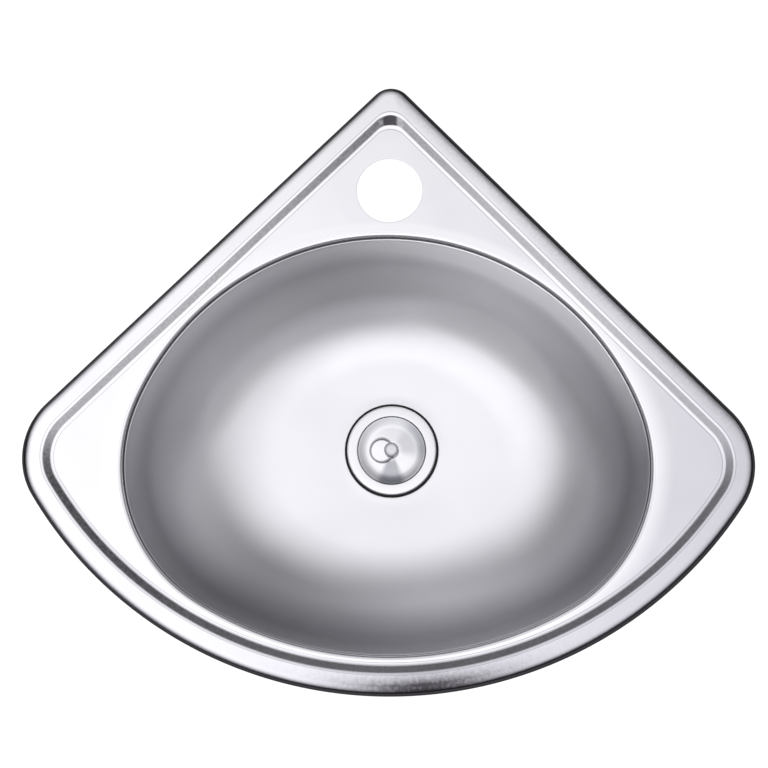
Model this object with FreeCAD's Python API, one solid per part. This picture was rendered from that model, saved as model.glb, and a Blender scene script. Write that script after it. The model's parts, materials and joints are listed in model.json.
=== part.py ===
import FreeCAD, Part
import math
import os

# Corner sink: a pressed steel deck, a drawn bowl, a waste with a lift-out plug, and worktop clips.
# All sizes are in millimetres and all angles in degrees.
# Frame: +Z up, +Y towards the wall corner, origin on the drain axis at worktop level.

# Outer edge of the rim, seen from above
CORNER_REACH = 222.76       # drain axis to the point where the two wall sides would meet
FRONT_REACH = 159.4         # drain axis to the middle of the curved front
CORNER_RADIUS = 14.0        # rounding at the wall corner
END_RADIUS = 45.0           # rounding where a wall side meets the curved front
FRONT_RADIUS = 257.6        # curved front

# Rim and step, from the outer edge inwards
SHEET = 1.0                 # steel thickness of deck and bowl
RIM_HEIGHT = 7.0            # worktop to the top of the rim
RIM_EDGE_BEND = 5.5         # inside radius of the rolled outer edge
RIM_WIDTH = 13.6            # outer edge to the top of the step
STEP_RUN = 5.0              # width of the sloping step, seen from above
STEP_DEPTH = 4.0            # rim top to deck
STEP_CREST_BEND = 2.0       # inside radius at the top of the step
STEP_ROOT_BEND = 4.0        # inside radius at the foot of the step
STEP_CORNER_RADIUS = 12.0   # rounding of the step at the wall corner
SEAL_INSET = 7.4            # outer edge to the foam strip under the rim
SEAL_WIDTH = 4.8
SEAL_CORNER_RADIUS = 4.0    # inner rounding of the foam strip at the wall corner

# Tap hole
TAP_HOLE_RADIUS = 20.6
TAP_LAND = 8.9              # mouth of the bowl to the tap hole

# Mouth of the bowl, an oval of four tangent arcs
MOUTH_MARGIN = 24.0         # outer edge of the rim to the mouth, at the wall sides and the front
MOUTH_BACK_RADIUS = 165.0
MOUTH_END_RADIUS = 98.0
MOUTH_TIGHTER = 12.8        # front radius of a curve parallel to the rim, less the mouth's front radius
COLLAR_DROP = 7.0           # deck to the weld seam
COLLAR_BEND = 2.0           # inside radius from deck to collar

# Bowl
BOWL_DEPTH = 130.0          # rim top to the floor at the drain
BOWL_LEDGE = 0.8            # how far the bowl's lip stands inside the collar
BRIM_WIDTH = 3.5            # flat lip that the collar is welded to
WALL_DRAFT = 6.0
WALL_TO_FLOOR_RADIUS = 80.0
BEND_STEPS = 8              # sections that shape the bend from wall to floor
FLOOR_FALL = 3.0            # slope of the floor towards the drain
DRAIN_FLAT_RADIUS = 38.0    # level part of the floor around the drain
PAD_THICKNESS = 2.0         # sound pad glued under the floor
PAD_HOLE_RADIUS = 40.0

# Waste, clamped through the drain hole
NECK_RADIUS = 23.9          # 1 1/2 inch pipe thread, outside
NECK_CLEARANCE = 0.3        # radial gap between the neck and what it passes through
NECK_LENGTH = 58.0          # flange underside to the open end
FLANGE_RADIUS = 31.0
FLANGE_THICKNESS = 2.2
FLANGE_ROUND = 1.2          # rounding of the flange's outer edge
GASKET_RADIUS = 32.7        # black ring that shows around the flange
GASKET_THICKNESS = 2.0
SEAT_RADIUS = 24.0          # top of the conical plug seat
SEAT_ROUND = 0.7            # rounding where the flange turns down into the seat
SEAT_ANGLE = 30.0           # from the drain axis
SEAT_DEPTH = 6.5
STRAINER_DEPTH = 17.0       # flange top to the strainer plate
STRAINER_THICKNESS = 1.0
STRAINER_CLEARANCE = 0.15
STRAINER_LEDGE = 1.6        # width of the ledge under the plate
STRAINER_LEDGE_HEIGHT = 2.0
STRAINER_HOLE_RADIUS = 2.1
STRAINER_PITCH = 6.8        # from one ring of holes to the next
STRAINER_RING_COUNT = 2     # rings around the hole in the middle
OUTLET_RADIUS = 21.0        # bore below the strainer
RELIEF_DEPTH = 0.7          # groove between the back nut's thread and the outlet's thread
RELIEF_WIDTH = 2.0
LOWER_GASKET_RADIUS = 34.0
LOWER_GASKET_THICKNESS = 3.0
WASHER_RADIUS = 33.0
WASHER_THICKNESS = 1.0
BACK_NUT_FLATS = 58.0
BACK_NUT_HEIGHT = 9.0
BACK_NUT_FLANGE_RADIUS = 33.0
BACK_NUT_FLANGE_HEIGHT = 2.5
THREAD_CLEARANCE = 0.1      # radial gap between a nut and its thread

# Plug
PLUG_CLEARANCE = 0.25       # gap between the plug's seal and the seat
PLUG_SINK = 0.5             # flange top to the edge of the plug
CAP_SHEET = 0.8
CAP_GAP = 0.6               # radial gap around the cap's edge
CAP_BORDER = 5.0            # width of the sloping border
CAP_DISH_DEPTH = 2.3        # edge to the bottom of the dish
CAP_BEND = 14.0             # rounding where the border meets the dish
CAP_CROWN = 0.8             # rise of the middle towards the knob
CORE_INSET = 1.5            # foot of the cap's border to the core's side
CORE_LIP_REACH = 1.7        # lip under the rubber, out from the core's side
CORE_LIP = 1.6              # thickness of that lip
SEAL_FIT = 0.1              # rubber to the core's side
SEAL_COVER = 1.0            # how far the cap's border covers the rubber
SEAL_DROP = 1.6             # cap's edge to the top of the rubber's sealing face
SEAL_FACE = 3.2             # height of that face
SHANK_RADIUS = 2.0
SHANK_CLEARANCE = 0.1
KNOB_RADIUS = 5.0
KNOB_HEIGHT = 6.4
KNOB_ROUND = 1.3
KNOB_NECK_RADIUS = 3.2
KNOB_NECK_HEIGHT = 1.2
PLUG_NUT_FLATS = 7.0
PLUG_NUT_HEIGHT = 3.2
SHANK_END = 1.0             # thread that shows below the nut

# Pull ring
RING_RADIUS = 8.2           # middle of the wire
RING_WIRE_RADIUS = 0.65
RING_CLEARANCE = 0.3        # around the wire in the knob, and above the cap at rest

# Worktop clips
WORKTOP = 30.0              # worktop thickness that the clips are drawn at
CLIP_INSET = 29.6           # outer edge of the rim to the clip bolts
FRONT_CLIP_ANGLE = 2.7      # end of the curved front to a front clip, about the front's centre
CHANNEL_LENGTH = 24.0
CHANNEL_WIDTH = 13.0
CHANNEL_HEIGHT = 8.0
CHANNEL_SHEET = 1.2
BOLT_RADIUS = 3.0
BOLT_CLEARANCE = 0.3
BOLT_HEAD_LENGTH = 10.0
BOLT_HEAD_HEIGHT = 2.6
BOLT_END = 6.0              # thread that shows below the nut
JAW_WIDTH = 18.0
JAW_HEEL = 9.0              # bolt to the inner end of the jaw
JAW_HEEL_ROUND = 4.0
JAW_REACH = 23.0            # bolt to the outer face of the toe
JAW_SHEET = 2.0
JAW_TOE = 8.0               # height of the upturned toe
JAW_BEND = 1.5              # inside radius of the toe's bend
JAW_TEETH = 4
JAW_TOOTH_DEPTH = 2.0
JAW_GAP = 0.2               # jaw to nut
CLIP_NUT_FLATS = 10.0
CLIP_NUT_HEIGHT = 5.0

DIAGONAL = math.sqrt(0.5)
Z_AXIS = FreeCAD.Vector(0, 0, 1)
SAME_HEIGHT = 1e-4

# Levels, places and radii that follow from the sizes above
FRONT_CENTRE = (0.0, FRONT_RADIUS - FRONT_REACH)
MOUTH_TOUCH = MOUTH_BACK_RADIUS + MOUTH_MARGIN
MOUTH_BACK_CENTRE = (0.0, CORNER_REACH - MOUTH_TOUCH / DIAGONAL)
MOUTH_FRONT_RADIUS = FRONT_RADIUS - MOUTH_MARGIN - MOUTH_TIGHTER
MOUTH_FRONT_CENTRE = (0.0, MOUTH_FRONT_RADIUS + MOUTH_MARGIN - FRONT_REACH)
TAP_HOLE_REACH = MOUTH_BACK_CENTRE[1] + MOUTH_BACK_RADIUS + TAP_LAND + TAP_HOLE_RADIUS
DECK_TOP = RIM_HEIGHT - STEP_DEPTH
DECK_UNDER = DECK_TOP - SHEET
SEAM = DECK_TOP - COLLAR_DROP
FLOOR = RIM_HEIGHT - BOWL_DEPTH
FLOOR_UNDER = FLOOR - SHEET
FLANGE_UNDER = FLOOR + GASKET_THICKNESS
FLANGE_TOP = FLANGE_UNDER + FLANGE_THICKNESS
NECK_END = FLANGE_UNDER - NECK_LENGTH
GASKET_UNDER = FLOOR_UNDER - LOWER_GASKET_THICKNESS
WASHER_UNDER = GASKET_UNDER - WASHER_THICKNESS
BACK_NUT_UNDER = WASHER_UNDER - BACK_NUT_HEIGHT
STRAINER_UNDER = FLANGE_TOP - STRAINER_DEPTH - STRAINER_THICKNESS
PASSAGE_RADIUS = NECK_RADIUS + NECK_CLEARANCE
SEAT_SLOPE = math.tan(math.radians(SEAT_ANGLE))
SEAT_FOOT_RADIUS = SEAT_RADIUS - SEAT_DEPTH * SEAT_SLOPE
CAP_RADIUS = SEAT_RADIUS - CAP_GAP
CAP_TOP = FLANGE_TOP - PLUG_SINK
DISH_RADIUS = CAP_RADIUS - CAP_BORDER
DISH = CAP_TOP - CAP_DISH_DEPTH
KNOB_BASE = DISH + CAP_CROWN
CORE_RADIUS = DISH_RADIUS - CORE_INSET
SHANK_HOLE_RADIUS = SHANK_RADIUS + SHANK_CLEARANCE
DISH_RISE = CAP_CROWN / (DISH_RADIUS - SHANK_HOLE_RADIUS)
BORDER_SLOPE = CAP_DISH_DEPTH / CAP_BORDER
SEAL_TOP = CAP_TOP - SEAL_DROP
SEAL_UNDER = SEAL_TOP - SEAL_FACE
CORE_UNDER = SEAL_UNDER - CORE_LIP
PLUG_NUT_UNDER = CORE_UNDER - PLUG_NUT_HEIGHT
KNOB_UNDER = KNOB_BASE + KNOB_NECK_HEIGHT
KNOB_TOP = KNOB_UNDER + KNOB_HEIGHT
PIVOT = (KNOB_UNDER + KNOB_TOP) / 2
RING_OUTSIDE = RING_RADIUS + RING_WIRE_RADIUS + RING_CLEARANCE
RING_INSIDE = RING_RADIUS - RING_WIRE_RADIUS - RING_CLEARANCE
RING_AT_KNOB = math.sqrt(RING_INSIDE**2 - KNOB_RADIUS**2)
RING_ARM = (RING_OUTSIDE + RING_AT_KNOB) / 2
KNOB_BORE_RADIUS = (RING_OUTSIDE - RING_AT_KNOB) / 2
CHANNEL_LIP = CHANNEL_SHEET - CHANNEL_HEIGHT
TOE_TOP = -WORKTOP - DECK_UNDER
JAW_TOP = TOE_TOP - JAW_TOE
JAW_UNDER = JAW_TOP - JAW_SHEET
CLIP_NUT_TOP = JAW_UNDER - JAW_GAP
CLIP_NUT_UNDER = CLIP_NUT_TOP - CLIP_NUT_HEIGHT


def point(x, y, z=0.0):
    return FreeCAD.Vector(x, y, z)


def on_circle(centre, radius, angle, z=0.0):
    """The point of a circle at that angle from +X, at height z."""
    turn = math.radians(angle)
    return point(centre[0] + radius * math.cos(turn), centre[1] + radius * math.sin(turn), z)


def arc(centre, radius, start, end, z):
    """An arc that runs from one angle to the other."""
    ends = [on_circle(centre, radius, angle, z) for angle in (start, (start + end) / 2, end)]
    return Part.Arc(*ends).toShape()


def prism(wire, height):
    return Part.Face(wire).extrude(Z_AXIS * height)


def cylinder(radius, bottom, top, x=0.0, y=0.0):
    return Part.makeCylinder(radius, top - bottom, point(x, y, bottom))


def washer(inner, outer, bottom, top):
    return cylinder(outer, bottom, top).cut(cylinder(inner, bottom, top))


def block(x_half, y_half, bottom, top):
    """A box centred on the Z axis."""
    return Part.makeBox(2 * x_half, 2 * y_half, top - bottom, point(-x_half, -y_half, bottom))


def turned(profile):
    """A closed profile of (radius, height) corners, turned about the drain axis."""
    corners = [point(radius, 0, height) for radius, height in profile]
    outline = Part.makePolygon(corners + corners[:1])
    return Part.Face(outline).revolve(point(0, 0), Z_AXIS, 360)


def bar(profile, width):
    """A closed profile of (x, z) corners, drawn out along Y to that width about the middle."""
    corners = [point(x, -width / 2, z) for x, z in profile]
    return Part.Face(Part.makePolygon(corners + corners[:1])).extrude(point(0, width))


def hexagon(flats, bottom, top):
    corners = [on_circle((0, 0), flats / math.sqrt(3), 60 * side, bottom) for side in range(7)]
    return prism(Part.makePolygon(corners), top - bottom)


def hex_nut(flats, bore, bottom, top):
    return hexagon(flats, bottom, top).cut(cylinder(bore, bottom, top))


def level_edges(shape, height, within=None):
    """The edges that lie level at that height, or only those whose middles lie within the wire."""
    found = [
        edge
        for edge in shape.Edges
        if abs(edge.BoundBox.ZMin - height) < SAME_HEIGHT
        and abs(edge.BoundBox.ZMax - height) < SAME_HEIGHT
    ]
    if within is None:
        return found
    area = Part.Face(within)
    return [edge for edge in found if area.isInside(middle(edge), SAME_HEIGHT, True)]


def middle(edge):
    return edge.valueAt((edge.FirstParameter + edge.LastParameter) / 2)


def rounded(shape, radius, height, size):
    """The turned shape with the edge at that radius and height rounded to size."""
    rim = [edge for edge in level_edges(shape, height) if abs(edge.Curve.Radius - radius) < SAME_HEIGHT]
    return shape.makeFillet(size, rim)


# Outline of the rim


def end_centre():
    """Centre of the right end's rounding, which touches the wall side and the front arc."""
    start_x = -END_RADIUS * DIAGONAL
    start_y = CORNER_REACH - END_RADIUS * DIAGONAL - FRONT_CENTRE[1]
    along = (start_x - start_y) * DIAGONAL
    beyond = start_x**2 + start_y**2 - (FRONT_RADIUS - END_RADIUS) ** 2
    reach = math.sqrt(along**2 - beyond) - along
    return (start_x + reach * DIAGONAL, start_y + FRONT_CENTRE[1] - reach * DIAGONAL)


def front_end_angle():
    """Where the curved front ends on the right, as an angle from +X about the front's centre."""
    right = end_centre()
    return math.degrees(math.atan2(right[1] - FRONT_CENTRE[1], right[0]))


def rim_outline(inset, z, corner_radius):
    """The rim's outline moved inwards by inset, with its own rounding at the wall corner."""
    corner = (0.0, CORNER_REACH - (inset + corner_radius) / DIAGONAL)
    right = end_centre()
    left = (-right[0], right[1])
    end_radius = END_RADIUS - inset
    turn = front_end_angle()
    sides = [
        (on_circle(corner, corner_radius, 45, z), on_circle(right, end_radius, 45, z)),
        (on_circle(left, end_radius, 135, z), on_circle(corner, corner_radius, 135, z)),
    ]
    right_side, left_side = [Part.LineSegment(*ends).toShape() for ends in sides]
    return Part.Wire(
        [
            arc(corner, corner_radius, 135, 45, z),
            right_side,
            arc(right, end_radius, 45, turn, z),
            arc(FRONT_CENTRE, FRONT_RADIUS - inset, turn, -180 - turn, z),
            arc(left, end_radius, -180 - turn, -225, z),
            left_side,
        ]
    )


# Outline of the bowl's mouth


def mouth_end():
    """Centre of the mouth's right end, whose arc touches the back arc and the front arc."""
    to_back = MOUTH_BACK_RADIUS - MOUTH_END_RADIUS
    to_front = MOUTH_FRONT_RADIUS - MOUTH_END_RADIUS
    spread = MOUTH_FRONT_CENTRE[1] - MOUTH_BACK_CENTRE[1]
    rise = (to_back**2 - to_front**2 + spread**2) / (2 * spread)
    return (math.sqrt(to_back**2 - rise**2), MOUTH_BACK_CENTRE[1] + rise)


def mouth_arcs():
    """The mouth's four arcs as (centre, radius, start angle, end angle), clockwise from the back."""
    end_x, end_y = mouth_end()
    side = math.degrees(math.atan2(end_y - MOUTH_BACK_CENTRE[1], end_x))
    low = math.degrees(math.atan2(end_y - MOUTH_FRONT_CENTRE[1], end_x))
    return [
        (MOUTH_BACK_CENTRE, MOUTH_BACK_RADIUS, 180 - side, side),
        ((end_x, end_y), MOUTH_END_RADIUS, side, low),
        (MOUTH_FRONT_CENTRE, MOUTH_FRONT_RADIUS, low, -180 - low),
        ((-end_x, end_y), MOUTH_END_RADIUS, -180 - low, -180 - side),
    ]


def mouth_outline(z, grow=0.0, scale=1.0, inset=0.0):
    """The mouth's oval moved inwards by inset, scaled about the drain axis, then grown outwards."""
    edges = []
    for centre, radius, start, end in mouth_arcs():
        scaled = (centre[0] * scale, centre[1] * scale)
        edges.append(arc(scaled, (radius - inset) * scale + grow, start, end, z))
    return Part.Wire(edges)


def drain_circle(radius, z):
    """A circle about the drain, cut into arcs that match the mouth's."""
    return Part.Wire([arc((0, 0), radius, start, end, z) for _, _, start, end in mouth_arcs()])


# Deck and the foam under it


def step_space(bottom, top, shift):
    """The space inside the sloping step, moved outwards by shift."""
    foot = rim_outline(RIM_WIDTH + STEP_RUN - shift, bottom, STEP_CORNER_RADIUS)
    crest = rim_outline(RIM_WIDTH - shift, top, STEP_CORNER_RADIUS)
    return Part.makeLoft([foot, crest], True, True)


def pressed_layer(skin):
    """Everything below the pressed deck's top face, or below its underside when skin is one sheet."""
    top = RIM_HEIGHT - skin
    deck = DECK_TOP - skin
    shift = skin * (math.hypot(STEP_RUN, STEP_DEPTH) - STEP_RUN) / STEP_DEPTH
    layer = prism(rim_outline(skin, 0, CORNER_RADIUS - skin), top)
    layer = layer.makeFillet(RIM_EDGE_BEND + SHEET - skin, level_edges(layer, top))
    layer = layer.cut(step_space(deck, top, shift))
    layer = layer.makeFillet(STEP_ROOT_BEND + skin, level_edges(layer, deck))
    crest = level_edges(layer, top, rim_outline(RIM_WIDTH / 2, top, CORNER_RADIUS))
    return layer.makeFillet(STEP_CREST_BEND + SHEET - skin, crest)


def deck_panel():
    """The pressed deck: rolled rim, step, tap hole and the collar that the bowl is welded to."""
    deck = pressed_layer(0).cut(pressed_layer(SHEET))
    deck = deck.fuse(prism(mouth_outline(SEAM, SHEET), DECK_UNDER - SEAM)).removeSplitter()
    deck = deck.cut(prism(mouth_outline(SEAM), DECK_TOP - SEAM))
    lip = level_edges(deck, DECK_TOP, mouth_outline(DECK_TOP, SHEET))
    deck = deck.makeFillet(COLLAR_BEND + SHEET, lip)
    corner = level_edges(deck, DECK_UNDER, mouth_outline(DECK_UNDER, 2 * SHEET))
    deck = deck.makeFillet(COLLAR_BEND, corner)
    return deck.cut(cylinder(TAP_HOLE_RADIUS, DECK_UNDER, DECK_TOP, 0, TAP_HOLE_REACH))


def rim_seal():
    """Foam strip under the rim, which rests on the worktop."""
    top = RIM_HEIGHT - SHEET
    outer = prism(rim_outline(SEAL_INSET, 0, SEAL_CORNER_RADIUS + SEAL_WIDTH), top)
    return outer.cut(prism(rim_outline(SEAL_INSET + SEAL_WIDTH, 0, SEAL_CORNER_RADIUS), top))


# Bowl and the pad under it

LIP_HALF_WIDTH = mouth_end()[0] + MOUTH_END_RADIUS - BOWL_LEDGE
DRAFT = math.radians(WALL_DRAFT)
FALL = math.radians(FLOOR_FALL)


def bend_sections(skin):
    """The ovals that shape the bend from wall to floor, one skin outside the bowl's inner face."""
    wall_line = LIP_HALF_WIDTH - SEAM * math.tan(DRAFT) - WALL_TO_FLOOR_RADIUS / math.cos(DRAFT)
    floor_line = FLOOR - DRAIN_FLAT_RADIUS * math.tan(FALL) + WALL_TO_FLOOR_RADIUS / math.cos(FALL)
    reach = (wall_line + floor_line * math.tan(DRAFT)) / (1 - math.tan(FALL) * math.tan(DRAFT))
    height = floor_line + reach * math.tan(FALL)
    sections = []
    for step in range(BEND_STEPS + 1):
        angle = -DRAFT + (FALL + DRAFT - math.pi / 2) * step / BEND_STEPS
        scale = (reach + WALL_TO_FLOOR_RADIUS * math.cos(angle)) / LIP_HALF_WIDTH
        z = height + (WALL_TO_FLOOR_RADIUS + skin) * math.sin(angle)
        sections.append(mouth_outline(z, skin * math.cos(angle), scale, BOWL_LEDGE))
    return sections


def floor_cone(skin):
    """The shallow floor, from the end of the bend to the level part around the drain."""
    level = drain_circle(DRAIN_FLAT_RADIUS, FLOOR - skin)
    return Part.makeLoft([bend_sections(skin)[-1], level], True, True)


def bowl_space(skin):
    """All the space inside the bowl, grown by skin."""
    bend = bend_sections(skin)
    lip = mouth_outline(SEAM, skin / math.cos(DRAFT), 1.0, BOWL_LEDGE)
    wall = Part.makeLoft([lip, bend[0]], True, True)
    turn = Part.makeLoft(bend, True, False, False, 3)
    return wall.fuse([turn, floor_cone(skin)])


def bowl():
    """The drawn bowl, with the flat brim that the deck's collar stands on and the drain hole."""
    brim = prism(mouth_outline(SEAM - SHEET, BRIM_WIDTH), SHEET)
    shell = bowl_space(SHEET).fuse(brim).cut(bowl_space(0))
    return shell.cut(cylinder(PASSAGE_RADIUS, FLOOR_UNDER, FLOOR))


def sound_pad():
    """Damping pad glued to the underside of the floor."""
    faces = [face for face in floor_cone(SHEET).Faces if not isinstance(face.Surface, Part.Plane)]
    slabs = [face.extrude(Z_AXIS * -PAD_THICKNESS) for face in faces]
    hole = cylinder(PAD_HOLE_RADIUS, FLOOR_UNDER - PAD_THICKNESS, FLOOR)
    return slabs[0].fuse(slabs[1:]).removeSplitter().cut(hole)


# Waste


def waste_body():
    """Polished flange with the plug's conical seat, and the neck that goes down through the bowl."""
    ledge_radius = SEAT_FOOT_RADIUS - STRAINER_LEDGE
    ledge_under = STRAINER_UNDER - STRAINER_LEDGE_HEIGHT
    relief_under = BACK_NUT_UNDER - RELIEF_WIDTH
    relief_radius = NECK_RADIUS - RELIEF_DEPTH
    body = turned(
        [
            (NECK_RADIUS, FLANGE_UNDER),
            (FLANGE_RADIUS, FLANGE_UNDER),
            (FLANGE_RADIUS, FLANGE_TOP),
            (SEAT_RADIUS, FLANGE_TOP),
            (SEAT_FOOT_RADIUS, FLANGE_TOP - SEAT_DEPTH),
            (SEAT_FOOT_RADIUS, STRAINER_UNDER),
            (ledge_radius, STRAINER_UNDER),
            (ledge_radius, ledge_under),
            (OUTLET_RADIUS, ledge_under),
            (OUTLET_RADIUS, NECK_END),
            (NECK_RADIUS, NECK_END),
            (NECK_RADIUS, relief_under),
            (relief_radius, relief_under),
            (relief_radius, BACK_NUT_UNDER),
            (NECK_RADIUS, BACK_NUT_UNDER),
        ]
    )
    body = rounded(body, FLANGE_RADIUS, FLANGE_TOP, FLANGE_ROUND)
    return rounded(body, SEAT_RADIUS, FLANGE_TOP, SEAT_ROUND)


def strainer_plate():
    """Perforated plate on the ledge inside the neck."""
    top = STRAINER_UNDER + STRAINER_THICKNESS
    plate = cylinder(SEAT_FOOT_RADIUS - STRAINER_CLEARANCE, STRAINER_UNDER, top)
    for ring in range(STRAINER_RING_COUNT + 1):
        count = max(1, 6 * ring)
        for hole in range(count):
            spot = on_circle((0, 0), ring * STRAINER_PITCH, 360 * hole / count)
            plate = plate.cut(cylinder(STRAINER_HOLE_RADIUS, STRAINER_UNDER, top, spot.x, spot.y))
    return plate


def back_nut():
    """Flanged nut that clamps the waste to the bowl."""
    top = WASHER_UNDER
    flange = cylinder(BACK_NUT_FLANGE_RADIUS, top - BACK_NUT_FLANGE_HEIGHT, top)
    nut = hexagon(BACK_NUT_FLATS, BACK_NUT_UNDER, top).fuse(flange).removeSplitter()
    return nut.cut(cylinder(NECK_RADIUS + THREAD_CLEARANCE, BACK_NUT_UNDER, top))


# Plug


def dish_height(radius):
    """Height of the cap's dished middle at that radius."""
    return DISH + (DISH_RADIUS - radius) * DISH_RISE


def cap_underside():
    """The underside of the cap: its edge and the bend from border to dish, as (radius, height)."""
    slope = math.atan(BORDER_SLOPE)
    edge_radius = CAP_RADIUS - CAP_SHEET * math.sin(slope)
    edge = CAP_TOP - CAP_SHEET * math.cos(slope)
    drop = edge - (edge_radius - DISH_RADIUS) * BORDER_SLOPE - DISH + CAP_SHEET
    bend_radius = DISH_RADIUS - drop / (BORDER_SLOPE + DISH_RISE)
    return (edge_radius, edge), (bend_radius, dish_height(bend_radius) - CAP_SHEET)


def plug_cap():
    """Polished cap of the plug, with a sloping border and a dished middle."""
    edge, bend = cap_underside()
    cap = turned(
        [
            (CAP_RADIUS, CAP_TOP),
            (DISH_RADIUS, DISH),
            (SHANK_HOLE_RADIUS, KNOB_BASE),
            (SHANK_HOLE_RADIUS, KNOB_BASE - CAP_SHEET),
            bend,
            edge,
        ]
    )
    return rounded(cap, DISH_RADIUS, DISH, CAP_BEND)


def plug_core():
    """Moulded core under the cap, with the lip that carries the rubber."""
    lip_radius = CORE_RADIUS + CORE_LIP_REACH
    return turned(
        [
            (SHANK_HOLE_RADIUS, KNOB_BASE - CAP_SHEET),
            (CORE_RADIUS, dish_height(CORE_RADIUS) - CAP_SHEET),
            (CORE_RADIUS, SEAL_UNDER),
            (lip_radius, SEAL_UNDER),
            (lip_radius, CORE_UNDER),
            (SHANK_HOLE_RADIUS, CORE_UNDER),
        ]
    )


def seat_radius(height):
    """Radius of the rubber's sealing face, one clearance inside the conical seat."""
    gap = PLUG_CLEARANCE / math.cos(math.radians(SEAT_ANGLE))
    return SEAT_RADIUS - (FLANGE_TOP - height) * SEAT_SLOPE - gap


def plug_seal():
    """Rubber ring between cap and core, which closes on the conical seat."""
    edge, bend = cap_underside()
    inner = CORE_RADIUS + SEAL_FIT
    return turned(
        [
            (inner, dish_height(inner) - CAP_SHEET),
            bend,
            (edge[0] - SEAL_COVER, edge[1] - SEAL_COVER * BORDER_SLOPE),
            (seat_radius(SEAL_TOP), SEAL_TOP),
            (seat_radius(SEAL_UNDER), SEAL_UNDER),
            (inner, SEAL_UNDER),
        ]
    )


def plug_knob():
    """Button knob with its threaded shank, cross-drilled for the pull ring."""
    shank_end = PLUG_NUT_UNDER - SHANK_END
    knob = turned(
        [
            (0, shank_end),
            (SHANK_RADIUS, shank_end),
            (SHANK_RADIUS, KNOB_BASE),
            (KNOB_NECK_RADIUS, KNOB_BASE),
            (KNOB_NECK_RADIUS, KNOB_UNDER),
            (KNOB_RADIUS, KNOB_UNDER),
            (KNOB_RADIUS, KNOB_TOP),
            (0, KNOB_TOP),
        ]
    )
    for height in (KNOB_UNDER, KNOB_TOP):
        knob = rounded(knob, KNOB_RADIUS, height, KNOB_ROUND)
    start = point(0, -KNOB_RADIUS, PIVOT)
    return knob.cut(Part.makeCylinder(KNOB_BORE_RADIUS, 2 * KNOB_RADIUS, start, point(0, 1)))


def ring_tilt():
    """How far the pull ring hangs below level when its far side lies on the cap."""
    room = PIVOT - RING_WIRE_RADIUS - RING_CLEARANCE - dish_height(0)
    reach = (RING_ARM + RING_RADIUS) * math.hypot(1, DISH_RISE)
    return math.asin(room / reach) + math.atan(DISH_RISE)


def pull_ring():
    """Wire ring through the knob, lying to the left."""
    tilt = ring_tilt()
    centre = point(-RING_ARM * math.cos(tilt), 0, PIVOT - RING_ARM * math.sin(tilt))
    face = point(-math.sin(tilt), 0, math.cos(tilt))
    return Part.makeTorus(RING_RADIUS, RING_WIRE_RADIUS, centre, face)


# Worktop clips, drawn at a bolt with X pointing out to the rim and Z from the deck's underside


def clip_channel():
    """Rail welded under the deck, open downwards with two lips that hold the bolt's head."""
    half = CHANNEL_WIDTH / 2
    slot = BOLT_RADIUS + BOLT_CLEARANCE
    right = [
        (half, 0),
        (half, -CHANNEL_HEIGHT),
        (slot, -CHANNEL_HEIGHT),
        (slot, CHANNEL_LIP),
        (half - CHANNEL_SHEET, CHANNEL_LIP),
        (half - CHANNEL_SHEET, -CHANNEL_SHEET),
    ]
    left = [(-x, z) for x, z in reversed(right)]
    return bar(right + left, CHANNEL_LENGTH)


def clip_bolt():
    """Bolt with a flat head that slides in the rail."""
    head_half = CHANNEL_WIDTH / 2 - CHANNEL_SHEET - BOLT_CLEARANCE
    head = block(head_half, BOLT_HEAD_LENGTH / 2, CHANNEL_LIP, CHANNEL_LIP + BOLT_HEAD_HEIGHT)
    return head.fuse(cylinder(BOLT_RADIUS, CLIP_NUT_UNDER - BOLT_END, CHANNEL_LIP))


def clip_jaw():
    """Bent strip whose toothed toe bites the worktop from below."""
    toe = JAW_REACH - JAW_SHEET
    strip = bar(
        [
            (-JAW_HEEL, JAW_UNDER),
            (JAW_REACH, JAW_UNDER),
            (JAW_REACH, TOE_TOP),
            (toe, TOE_TOP),
            (toe, JAW_TOP),
            (-JAW_HEEL, JAW_TOP),
        ],
        JAW_WIDTH,
    )
    for x, z, radius in ((toe, JAW_TOP, JAW_BEND), (JAW_REACH, JAW_UNDER, JAW_BEND + JAW_SHEET)):
        strip = strip.makeFillet(radius, [edge for edge in strip.Edges if lies_at(edge, x, z)])
    heel = [
        edge
        for edge in strip.Edges
        if abs(edge.BoundBox.XMax + JAW_HEEL) < SAME_HEIGHT and edge.BoundBox.YLength < SAME_HEIGHT
    ]
    strip = strip.makeFillet(JAW_HEEL_ROUND, heel)
    pitch = JAW_WIDTH / JAW_TEETH
    for tooth in range(JAW_TEETH):
        centre = (tooth + 0.5) * pitch - JAW_WIDTH / 2
        corners = [
            point(toe, centre - pitch / 2, TOE_TOP),
            point(toe, centre + pitch / 2, TOE_TOP),
            point(toe, centre, TOE_TOP - JAW_TOOTH_DEPTH),
        ]
        notch = Part.Face(Part.makePolygon(corners + corners[:1])).extrude(point(JAW_SHEET, 0))
        strip = strip.cut(notch)
    return strip.cut(cylinder(BOLT_RADIUS + BOLT_CLEARANCE, JAW_UNDER, JAW_TOP))


def lies_at(edge, x, z):
    """Whether a straight edge along Y lies at that x and z."""
    spot = middle(edge)
    near = math.hypot(spot.x - x, spot.z - z) < SAME_HEIGHT
    return near and edge.BoundBox.YLength > JAW_WIDTH / 2


def clip_nut():
    return hex_nut(CLIP_NUT_FLATS, BOLT_RADIUS + THREAD_CLEARANCE, CLIP_NUT_UNDER, CLIP_NUT_TOP)


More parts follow.
